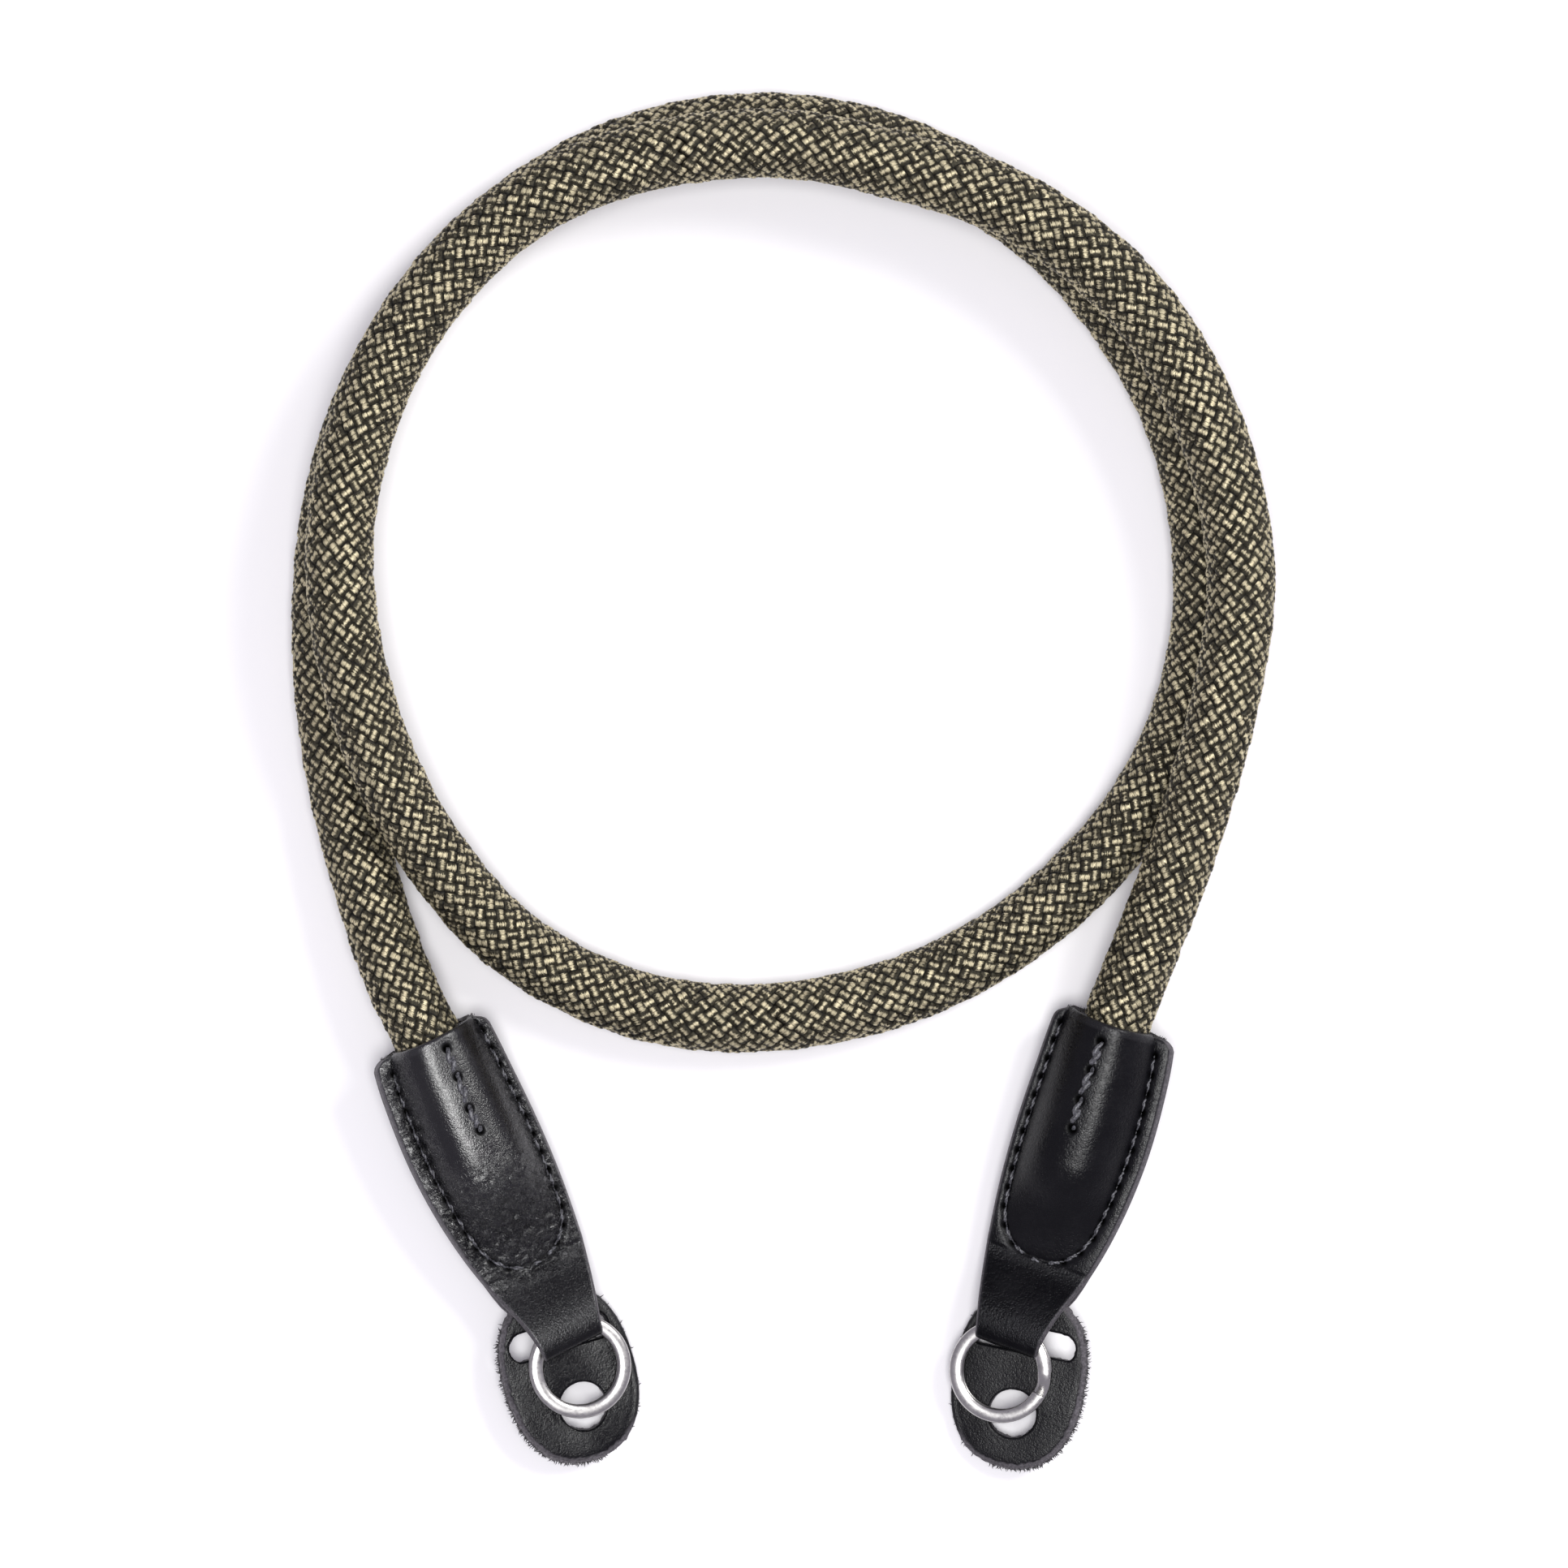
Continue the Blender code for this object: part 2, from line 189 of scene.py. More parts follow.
# The tab's outline: distance from the fold and half width, both as shares
TAB_OUTLINE = [
    (0.00, 0.46),
    (0.06, 0.49),
    (0.14, 0.58),
    (0.28, 0.80),
    (0.45, 0.94),
    (0.64, 1.00),
    (0.82, 0.98),
    (0.975, 0.92),
    (1.00, 0.86),
]

# How far the rope fills the pocket: distance from its bottom and height, both as shares
POCKET_FILL = [
    (0.00, 0.00),
    (0.06, 0.10),
    (0.14, 0.27),
    (0.24, 0.56),
    (0.34, 0.88),
    (0.42, 1.00),
    (1.00, 1.00),
]

# The strip's path through the ring: distance from the fold and height as shares, and spread of its width
EYE_FRONT = [
    (0.85, 0.30, 1.0),
    (0.68, 0.53, 1.0),
    (0.52, 0.75, 1.0),
    (0.36, 0.92, 1.0),
    (0.22, 1.00, 1.0),
    (0.120, 1.00, 1.0),
    (0.065, 0.93, 1.0),
    (0.045, 0.80, 0.9),
    (0.034, 0.60, 0.1),
    (0.034, 0.34, 0.0),
]
EYE_BACK = [
    (0.048, 0.00, 0.0),
    (0.075, 0.40, 0.0),
    (0.125, 0.76, 0.0),
    (0.210, 1.00, 0.2),
    (0.36, 1.00, 0.7),
    (0.52, 1.00, 0.9),
    (0.66, 1.00, 1.0),
    (0.75, 0.97, 1.0),
    (0.86, 0.60, 1.0),
    (0.94, 0.32, 1.0),
]

# The seam's distance from the tab's edge on each side, its round bottom, and the round corners of the mouth
SEAM_OUTWARD = 0.0028
SEAM_INWARD = 0.0018
SEAM_BOTTOM = 0.0075
SEAM_FIRST_HOLE = 0.0028
SEAM_BELOW_POCKET = 0.0006
CORNER_OUTWARD = 0.0014
CORNER_INWARD = 0.0024

# The mouth's rounded edge: distance from the mouth, share of the leather's thickness
MOUTH_EDGE = [(0.0, 0.55), (0.00008, 0.75), (0.00022, 0.90), (0.00045, 1.0)]
MOUTH_FIRST_ROW = 0.00075
FRONT_ROWS = 124
BACK_ROWS = 62
MARGIN_SWELL = 0.00024
NECK_GAIN = 0.0009

CORE_RADIUS = 0.0044
SHEATH_SWELL = 0.00005
PIECES_OF_SHEATH = 4
SHEATH_IN_POCKET = 0.009
CELLS_AROUND = 14
CELL_STATIONS = (0.0, 0.14, 0.31, 0.5, 0.69, 0.86, 1.0)
PAD_BEVEL = 0.00032

# Scale and depth of the leather's grain, and its shine: the left tab's worn leather, and all the rest
WORN_LEATHER = {"scale": 2400.0, "pebbles": 0.00005, "fine": 0.00008, "specular": 0.66, "coat": 0.12}
FIRM_LEATHER = {"scale": 1500.0, "pebbles": 0.00009, "fine": 0.00004, "specular": 0.24, "coat": 0.0}

CAMERA_PLACE = (0.0017, 0.0735, 1.0)
SEEN_WIDTH = 0.2549
COIL_MIDDLE = (0.0, 0.07, 0.0)


def length_property(name, description, default, low, high):
    return bpy.props.FloatProperty(
        name=name, description=description, default=default, min=low, max=high, precision=5, unit="LENGTH"
    )


def colour_property(name, description, default):
    return bpy.props.FloatVectorProperty(
        name=name, description=description, default=default, min=0.0, max=1.0, size=3, subtype="COLOR"
    )


class StrapSizes(bpy.types.PropertyGroup):
    """Sizes of the strap that a user may want to change."""

    braid_pitch: length_property("Braid pitch", "Distance between the rows of the braid", 0.0013, 0.0009, 0.002)
    braid_depth: length_property("Braid depth", "Height of the yarns over their valleys", 0.00075, 0.0003, 0.0012)
    stitch_pitch: length_property("Stitch pitch", "Distance between the stitch holes", 0.0031, 0.002, 0.005)
    thread_diameter: length_property("Thread", "Thickness of the waxed thread", 0.00062, 0.0003, 0.001)
    fibre_length: length_property("Fibres", "Length of the frayed fibres on cut edges", 0.0007, 0.0001, 0.002)


class StrapColours(bpy.types.PropertyGroup):
    """Colours of the strap that a user may want to change."""

    # The light fleck colour is a painted highlight; the olive ground is the yarn's own colour.
    yarn_highlight: colour_property("Khaki fleck", "Colour of the light middle of each yarn", (0.80, 0.71, 0.47))
    yarn_dark: colour_property("Olive ground", "Colour of the dark ends of each yarn", (0.024, 0.021, 0.013))
    leather: colour_property("Leather", "Colour of the leather's grain side", (0.0025, 0.0025, 0.0036))
    cut_edge: colour_property("Cut edge", "Colour of raw edges and frayed fibres", (0.145, 0.135, 0.150))
    steel: colour_property("Steel", "Colour of the split rings", (0.52, 0.51, 0.50))
    floor: colour_property("Floor", "Colour of the pale floor", (0.93, 0.92, 0.94))


def smooth_value(table, at):
    """The second column's value at a place along the first, on a smooth curve."""
    places = [row[0] for row in table]
    values = [row[1] for row in table]
    at = min(max(at, places[0]), places[-1])
    index = 0
    while index < len(places) - 2 and at > places[index + 1]:
        index += 1
    slopes = []
    for place in (index, index + 1):
        low = max(place - 1, 0)
        high = min(place + 1, len(places) - 1)
        slopes.append((values[high] - values[low]) / (places[high] - places[low]))
    span = places[index + 1] - places[index]
    t = (at - places[index]) / span
    return (
        (2 * t**3 - 3 * t**2 + 1) * values[index]
        + (t**3 - 2 * t**2 + t) * span * slopes[0]
        + (3 * t**2 - 2 * t**3) * values[index + 1]
        + (t**3 - t**2) * span * slopes[1]
    )


def catmull_rom(points, steps):
    """Rows of numbers on a smooth curve through the given rows, with a number of steps between each two."""
    points = np.array(points, float)
    guides = np.vstack([2 * points[0] - points[1], points, 2 * points[-1] - points[-2]])
    rows = [points[0]]
    for index in range(1, len(guides) - 2):
        before, start, end, after = guides[index - 1 : index + 3]
        for step in range(1, steps + 1):
            t = step / steps
            rows.append(
                0.5
                * (
                    2 * start
                    + (end - before) * t
                    + (2 * before - 5 * start + 4 * end - after) * t**2
                    + (3 * start - before - 3 * end + after) * t**3
                )
            )
    return np.array(rows)


def outline_half_width(along):
    share = smooth_value(TAB_OUTLINE, along / TAB_LENGTH)
    return max(share * TAB_WIDTH / 2, NECK_WIDTH / 2)


def corner_cut(end, along, side):
    """How much a round corner of the mouth takes off the tab's half width."""
    radius = CORNER_OUTWARD if side == end["outward"] else CORNER_INWARD
    into = radius - (TAB_LENGTH - along)
    if into <= 0:
        return 0.0
    return radius - math.sqrt(max(radius**2 - into**2, 0.0))


def bow_at(along):
    share = along / TAB_LENGTH
    return TAB_BOW * 5.38 * share**1.5 * (1 - share)


def bottom_width(depth):
    """Share of the full width that the seam has at a depth above its round bottom."""
    if depth >= SEAM_BOTTOM:
        return 1.0
    return max(1 - (1 - max(depth, 0.0) / SEAM_BOTTOM) ** 2.3, 0.0) ** (1 / 2.3)


def seam_across(end, along, side):
    """How far off the tab's middle line the seam is. Side is 1 for +X, -1 for -X."""
    inset = SEAM_OUTWARD if side == end["outward"] else SEAM_INWARD
    depth = along - NECK_LENGTH + SEAM_BELOW_POCKET
    return side * (outline_half_width(along) - inset) * bottom_width(depth)


def dome(share, flatness):
    return max(1 - abs(share) ** flatness, 0.0) ** 1.15


def pocket_height(end, along, across):
    """Height of a layer's middle above the seam's plane, where the rope fills the pocket."""
    fill = smooth_value(POCKET_FILL, (along - NECK_LENGTH) / POCKET_DEPTH)
    side = 1 if across >= 0 else -1
    edge = abs(seam_across(end, along, side)) - 0.0003
    share = min(abs(across) / max(edge, 0.0004), 1.0)
    rise = max(fill, 0.0) * (POCKET_HEIGHT - LAYER_HEIGHT)
    return LAYER_HEIGHT + rise * dome(share, end["pocket_flatness"])


def layer_height(end, side, along, across):
    """Height of the front layer, with side 1, or of the back one, with side -1."""
    return side * pocket_height(end, along, across)


def flat_height(level, across):
    return level


def seam_path(end):
    """Points along the seam, from the mouth down one side, round the bottom and up the other side."""
    top = TAB_LENGTH - SEAM_FIRST_HOLE
    bottom = NECK_LENGTH - SEAM_BELOW_POCKET
    levels = [top + (bottom - top) * (1 - (1 - step / 150) ** 1.9) for step in range(151)]
    down = [(along, seam_across(end, along, -1)) for along in levels]
    up = [(along, seam_across(end, along, 1)) for along in reversed(levels[:-1])]
    return np.array(down + up)


def lengths_along(path):
    """Distance along a path from its start to each of its points."""
    steps = np.linalg.norm(np.diff(path, axis=0), axis=1)
    return np.concatenate([[0.0], np.cumsum(steps)])


def rows_at(places, lengths, rows):
    """The rows' numbers at other places along a path, by straight lines."""
    return np.stack([np.interp(places, lengths, column) for column in rows.T], axis=1)


def even_points(path, pitch):
    """Points at even steps along a path, with the pitch fitted to its length."""
    lengths = lengths_along(path)
    count = max(1, round(lengths[-1] / pitch))
    return rows_at(np.linspace(0.0, lengths[-1], count + 1), lengths, path)


def oval_points(length, width, squareness, count):
    """A superellipse, longer along Y."""
    points = []
    for step in range(count):
        angle = 2 * math.pi * step / count
        x = abs(math.cos(angle)) ** (2 / squareness) * math.copysign(width / 2, math.cos(angle))
        y = abs(math.sin(angle)) ** (2 / squareness) * math.copysign(length / 2, math.sin(angle))
        points.append((x, y))
    return points


def ring_matrix(end):
    ring_y = FOLD_LEATHER + RING_PLAY + end["ring_slack"] - RING_INNER_RADIUS
    middle = (end["outward"] * end["ring_shift"], ring_y, CLEARANCE)
    return Matrix.Translation(middle) @ Matrix.Rotation(-math.pi / 2, 4, "Z")


def pad_matrix(end):
    turn = Matrix.Rotation(end["outward"] * end["pad_turn"], 4, "Z")
    slot = (end["outward"] * end["slot_shift"], end["slot_above_fold"], -PAD_LEATHER / 2)
    return Matrix.Translation(slot) @ turn @ Matrix.Translation((0.0, -SLOT_ABOVE_CENTRE, 0.0))


def end_turn(end):
    return (
        Matrix.Rotation(end["yaw"], 4, "Z")
        @ Matrix.Rotation(TAB_PITCH, 4, "X")
        @ Matrix.Rotation(end["roll"], 4, "Y")
    )


def find_height(end):
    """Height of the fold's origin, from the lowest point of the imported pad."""
    turn = end_turn(end)
    pad = pad_matrix(end)
    rim = oval_points(PAD_LENGTH, PAD_WIDTH, PAD_SQUARENESS, 48)
    lowest = min((turn @ pad @ Vector((x, y, -PAD_LEATHER / 2))).z for x, y in rim)
    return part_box("ring_pad_" + end["name"])[0][2] - lowest


def end_matrix(end):
    """The frame of one end: its origin at the fold's edge, +Y to the mouth, +Z out of the front."""
    return Matrix.Translation((end["fold_x"], end["fold_y"], end["height"])) @ end_turn(end)


def moved(points, matrix):
    matrix = np.array(matrix)
    return np.asarray(points) @ matrix[:3, :3].T + matrix[:3, 3]


def add_object(name, data):
    thing = bpy.data.objects.new(name, data)
    bpy.context.scene.collection.objects.link(thing)
    return thing


def add_spline(curve, places):
    spline = curve.splines.new("POLY")
    spline.points.add(len(places) - 1)
    for point, place in zip(spline.points, places):
        point.co = (*place, 1.0)
    return spline


def make_piece(name, points, faces, material, smooth=True):
    """A mesh object at the origin."""
    mesh = bpy.data.meshes.new(name)
    mesh.from_pydata(np.asarray(points).tolist(), [], faces)
    mesh.validate()
    mesh.materials.append(material)
    if smooth:
        mesh.shade_smooth()
    return add_object(name, mesh)


def add_attribute(piece, name, values, domain="POINT", kind="FLOAT"):
    attribute = piece.data.attributes.new(name, kind, domain)
    key = "vector" if kind == "FLOAT_VECTOR" else "value"
    attribute.data.foreach_set(key, np.asarray(values, np.float32).ravel())


def finish_piece(piece, slot, *nodes):
    """Hides the imported parts that a piece stands in for, and makes it ride on the one body. The slot is not
    used.
    """
    if nodes:
        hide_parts(*nodes)
    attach(piece, "root")


def sweep(path, profile, sides, ups):
    """Points and faces of a tube. The profile's (side, up) pairs go along the path's own two directions."""
    profile = np.asarray(profile, float)
    path = np.asarray(path, float)
    points = (
        path[:, None, :]
        + profile[None, :, 0, None] * np.asarray(sides)[:, None, :]
        + profile[None, :, 1, None] * np.asarray(ups)[:, None, :]
    )
    return points.reshape(-1, 3), tube_faces(*points.shape[:2])


def tube_faces(rows, count):
    """Quads between rings of points, with a face over each end."""
    faces = []
    for here in range(0, (rows - 1) * count, count):
        for step in range(count):
            follow = (step + 1) % count
            faces.append((here + step, here + follow, here + count + follow, here + count + step))
    faces.append(tuple(reversed(range(count))))
    faces.append(tuple((rows - 1) * count + step for step in range(count)))
    return faces


def carried_frames(path):
    """Two directions across the path at each point, which turn with it and don't twist."""
    tangents = np.gradient(np.asarray(path, float), axis=0)
    tangents /= np.linalg.norm(tangents, axis=1)[:, None]
    side = np.cross(tangents[0], (0.0, 0.0, 1.0))
    side = side / np.linalg.norm(side)
    sides = []
    for tangent in tangents:
        side = side - tangent * np.dot(side, tangent)
        side = side / np.linalg.norm(side)
        sides.append(side)
    sides = np.array(sides)
    return sides, np.cross(tangents, sides)


def bell(distance, width, power=2):
    """1 at no distance, falling to about a third at the given width."""
    return np.exp(-((distance / width) ** power))


class Shader:
    """Builds a material from nodes, one short call each."""

    def __init__(self, name):
        self.material = bpy.data.materials.new(name)
        self.material.use_nodes = True
        self.nodes = self.material.node_tree.nodes
        self.links = self.material.node_tree.links
        self.surface = self.nodes["Principled BSDF"]
        self.place = self.nodes.new("ShaderNodeTexCoord").outputs["Object"]

    def link(self, value, socket):
        if hasattr(value, "is_linked"):
            self.links.new(value, socket)
        elif isinstance(value, tuple) and len(value) == 3 and socket.type == "RGBA":
            socket.default_value = (*value, 1.0)
        else:
            socket.default_value = value

    def set(self, **values):
        for name, value in values.items():
            self.link(value, self.surface.inputs[name.replace("_", " ")])

    def noise(self, scale, detail=3.0, roughness=0.55, place=None, distortion=0.0):
        node = self.nodes.new("ShaderNodeTexNoise")
        self.link(place or self.place, node.inputs["Vector"])
        node.inputs["Scale"].default_value = scale
        node.inputs["Detail"].default_value = detail
        node.inputs["Roughness"].default_value = roughness
        node.inputs["Distortion"].default_value = distortion
        return node.outputs["Fac"]

    def cell_edges(self, scale):
        node = self.nodes.new("ShaderNodeTexVoronoi")
        node.feature = "DISTANCE_TO_EDGE"
        self.link(self.place, node.inputs["Vector"])
        node.inputs["Scale"].default_value = scale
        return node.outputs["Distance"]

    def math(self, operation, a, b=0.0, c=0.0):
        node = self.nodes.new("ShaderNodeMath")
        node.operation = operation
        for value, socket in zip((a, b, c), node.inputs):
            self.link(value, socket)
        return node.outputs[0]

    def plus(self, a, b):
        return self.math("ADD", a, b)

    def times(self, a, b):
        return self.math("MULTIPLY", a, b)

    def off(self, value, middle):
        return self.math("ABSOLUTE", self.math("SUBTRACT", value, middle))

    def spread(self, value, width):
        """Turns a value from 0 to 1 into one that is centred on 0."""
        return self.times(self.math("SUBTRACT", value, 0.5), width)

    def ramp(self, value, low, high, start=0.0, end=1.0):
        node = self.nodes.new("ShaderNodeMapRange")
        node.interpolation_type = "SMOOTHSTEP"
        self.link(value, node.inputs["Value"])
        node.inputs["From Min"].default_value = low
        node.inputs["From Max"].default_value = high
        node.inputs["To Min"].default_value = start
        node.inputs["To Max"].default_value = end
        return node.outputs["Result"]

    def mix(self, share, a, b):
        node = self.nodes.new("ShaderNodeMix")
        node.data_type = "RGBA"
        self.link(share, node.inputs[0])
        self.link(a, node.inputs[6])
        self.link(b, node.inputs[7])
        return node.outputs[2]

    def attribute(self, name, vector=False):
        node = self.nodes.new("ShaderNodeAttribute")
        node.attribute_name = name
        return node.outputs["Vector" if vector else "Fac"]

    def split(self, vector):
        node = self.nodes.new("ShaderNodeSeparateXYZ")
        self.link(vector, node.inputs[0])
        return node.outputs

    def join(self, x, y, z):
        node = self.nodes.new("ShaderNodeCombineXYZ")
        for value, socket in zip((x, y, z), node.inputs):
            self.link(value, socket)
        return node.outputs[0]

    def bump(self, height, distance, strength=1.0, after=None):
        node = self.nodes.new("ShaderNodeBump")
        node.inputs["Strength"].default_value = strength
        node.inputs["Distance"].default_value = distance
        self.link(height, node.inputs["Height"])
        if after is not None:
            self.link(after, node.inputs["Normal"])
        return node.outputs["Normal"]


def tinted(colour, share):
    return tuple(channel * share for channel in colour)


def yarn_material(colours):
    """Satin polyester yarn: a painted highlight of light tan in the middle of each float, olive at its ends
    darkened by painted shade, fine filaments.
    """
    shader = Shader("braided_yarn")
    across, along, chance = shader.split(shader.attribute("yarn", vector=True))
    off_middle = shader.off(shader.math("FRACT", shader.times(across, 2.0)), 0.5)
    shifted = shader.math("MULTIPLY_ADD", shader.math("SUBTRACT", chance, 0.5), 0.22, along)
    off_centre = shader.off(shifted, 0.5)
    place = shader.join(shader.times(across, 22.0), shader.times(along, 1.3), shader.times(chance, 40.0))
    filaments = shader.noise(1.0, 1.5, 0.5, place)
    jagged = shader.spread(filaments, 0.80)
    drift = shader.spread(shader.math("FRACT", shader.times(chance, 7.3)), 0.16)
    reach = shader.plus(shader.plus(off_centre, jagged), drift)
    # Painted highlight: a light fleck on the middle of each float, where the satin yarn would catch the light,
    # brighter or dimmer at random.
    painted_highlight = shader.times(shader.ramp(reach, 0.180, 0.125), shader.ramp(off_middle, 0.495, 0.42))
    patches = shader.noise(300.0, 2.0)
    strength = shader.ramp(shader.plus(chance, shader.times(patches, 0.8)), 0.2, 1.3, 0.66, 1.0)
    painted_highlight = shader.times(painted_highlight, strength)
    light = tuple(colours.yarn_highlight)
    dark = tuple(colours.yarn_dark)
    ground = shader.mix(shader.ramp(filaments, 0.35, 0.7), dark, tinted(dark, 1.9))
    # Painted shade: each float is darker at its ends and sides, where it dives under its neighbours.
    edge = shader.math("MAXIMUM", shader.ramp(off_middle, 0.42, 0.5), shader.ramp(off_centre, 0.42, 0.5))
    ground = shader.mix(edge, ground, tinted(dark, 0.25))
    tint = shader.mix(shader.ramp(filaments, 0.3, 0.7), tinted(light, 0.55), light)
    shader.set(
        Base_Color=shader.mix(painted_highlight, ground, tint),
        Metallic=0.55,
        Roughness=0.48,
        Normal=shader.bump(filaments, 0.00012, 0.8),
        Specular_IOR_Level=0.4,
    )
    return shader.material


def core_material(colours):
    shader = Shader("rope_core")
    dark = tuple(colours.yarn_dark)
    strands = shader.noise(900.0, 2.0)
    shader.set(Base_Color=shader.mix(strands, tinted(dark, 0.3), dark), Roughness=0.8)
    return shader.material


def flesh_colour(shader, fuzz, colour):
    """The fibrous colour of raw cut leather."""
    return shader.mix(shader.ramp(fuzz, 0.3, 0.75), tinted(colour, 0.35), colour)


def leather_material(name, colours, gloss, creased=False):
    """Black grain leather. The piece's own marks say where it is holed, creased, lighter at the edges, raw, or
    shaded. The dark stitch holes and the dull neck are painted shade; the lighter edges are partly edge wear and
    partly a painted highlight.
    """
    shader = Shader(name)
    finish = WORN_LEATHER if creased else FIRM_LEATHER
    base = tuple(colours.leather)
    pores = shader.cell_edges(2600.0)
    pebbles = shader.noise(finish["scale"], 3.0, 0.6)
    fine = shader.noise(3000.0, 2.0, 0.6)
    broad = shader.noise(160.0, 4.0, 0.6)
    marks = ("hole", "crease", "wear_and_highlight", "raw", "painted_neck_shade")
    hole, crease, wear_and_highlight, raw, painted_neck_shade = (shader.attribute(mark) for mark in marks)
    grey = tuple(channel * 2.0 + 0.002 for channel in base)
    colour = shader.mix(shader.ramp(broad, 0.4, 0.75, 0.0, 0.4), base, grey)
    # Lighter grey along edges and rims: partly edge wear, partly a painted highlight.
    colour = shader.mix(shader.times(wear_and_highlight, 0.25), colour, (0.055, 0.054, 0.060))
    flesh = flesh_colour(shader, shader.noise(2600.0, 4.0, 0.7), tuple(colours.cut_edge))
    colour = shader.mix(raw, colour, flesh)
    # Painted shade: the stitch holes are near-black.
    colour = shader.mix(hole, colour, (0.0012, 0.0012, 0.0012))
    rough = shader.ramp(pebbles, 0.3, 0.7, gloss - 0.04, gloss + 0.06)
    rough = shader.plus(rough, shader.ramp(broad, 0.3, 0.7, -0.04, 0.05))
    rough = shader.plus(rough, shader.times(shader.plus(hole, raw), 0.4))
    normal = shader.bump(pebbles, finish["pebbles"], 0.6)
    normal = shader.bump(shader.ramp(pores, 0.0, 0.28), 0.00003, 0.35, normal)
    normal = shader.bump(fine, finish["fine"], 0.6, normal)
    if creased:
        wrinkles = shader.noise(800.0, 3.0, 0.6, distortion=1.2)
        folds = shader.times(shader.ramp(shader.off(wrinkles, 0.5), 0.0, 0.12), crease)
        normal = shader.bump(folds, 0.00022, 1.0, normal)
    # A black metal share takes the reflection out of the stitch holes and the neck and dulls them: painted shade
    # in the holes and on the neck.
    shader.set(
        Base_Color=colour,
        Roughness=rough,
        Normal=normal,
        Metallic=shader.math("MAXIMUM", hole, shader.times(painted_neck_shade, 0.55)),
        Specular_IOR_Level=finish["specular"],
        Coat_Weight=finish["coat"],
        Coat_Roughness=0.18,
    )
    return shader.material


def edge_material(colours):
    """Raw cut leather: dark, fibrous and dull."""
    shader = Shader("cut_leather_edge")
    fuzz = shader.noise(2400.0, 4.0, 0.7)
    colour = flesh_colour(shader, fuzz, tinted(colours.cut_edge, 0.4))
    shader.set(Base_Color=colour, Roughness=0.85, Normal=shader.bump(fuzz, 0.00025, 0.8), Sheen_Weight=0.3)
    return shader.material


def thread_material():
    """Black waxed thread with a soft grey shine: a real coat, and grey along its fibres that is partly fibre tone
    and partly a painted highlight.
    """
    shader = Shader("waxed_thread")
    fibres = shader.noise(3000.0, 3.0, 0.6)
    # The grey along the fibres is partly fibre tone and partly a painted highlight.
    shader.set(
        Base_Color=shader.mix(shader.ramp(fibres, 0.3, 0.75), (0.014, 0.014, 0.017), (0.16, 0.16, 0.18)),
        Roughness=0.38,
        Normal=shader.bump(fibres, 0.00008, 0.6),
        Coat_Weight=0.3,
        Coat_Roughness=0.3,
    )
    return shader.material


def steel_material(colours):
    """Satin steel wire with fine drawing lines and faint rubbed marks."""
    shader = Shader("satin_steel")
    base = tuple(colours.steel)
    lines = shader.noise(1800.0, 2.0, 0.5)
    marks = shader.noise(500.0, 4.0, 0.7)
    shader.set(
        Base_Color=shader.mix(shader.ramp(marks, 0.4, 0.8), base, tinted(base, 0.82)),
        Metallic=1.0,
        Roughness=shader.ramp(lines, 0.3, 0.7, 0.27, 0.36),
        Normal=shader.bump(marks, 0.000004, 0.3),
    )
    return shader.material


def make_camera():
    """The photograph's view: straight down, from one metre above the floor."""
    data = bpy.data.cameras.new("photo_camera")
    camera = add_object("photo_camera", data)
    camera.location = CAMERA_PLACE
    data.sensor_width = 36.0
    data.lens = data.sensor_width / SEEN_WIDTH
    data.clip_start = 0.05
    data.clip_end = 20.0
    bpy.context.scene.camera = camera


def rope_end(end, inset):
    along = TAB_LENGTH - inset
    return end_matrix(end) @ Vector((end["outward"] * bow_at(along), along, 0.0))


def rope_line():
    """The rope's middle line as points a millimetre or so apart, from one pocket to the other."""
    left, right = ENDS
    route = [Vector((x, y, height * ROPE_DIAMETER)) for x, y, height in ROPE_ROUTE]
    route[:0] = [rope_end(left, ROPE_IN_POCKET), rope_end(left, 0.0)]
    route += [rope_end(right, 0.0), rope_end(right, ROPE_IN_POCKET)]
    dense = catmull_rom([tuple(point) for point in route], 24)
    even = even_points(dense, 0.0009)
    for _ in range(30):
        even[1:-1] = even[1:-1] * 0.5 + (even[:-2] + even[2:]) * 0.25
    return even


def sheath_rows(first, last):
    """The braid's cells in rows, as corner cells of a slanted lattice."""
    rows = []
    for row in range(first, last):
        for step in range(CELLS_AROUND):
            total = 2 * step + (row % 2)
            rows.append(((total - row) // 2, (total + row) // 2, row))
    return rows


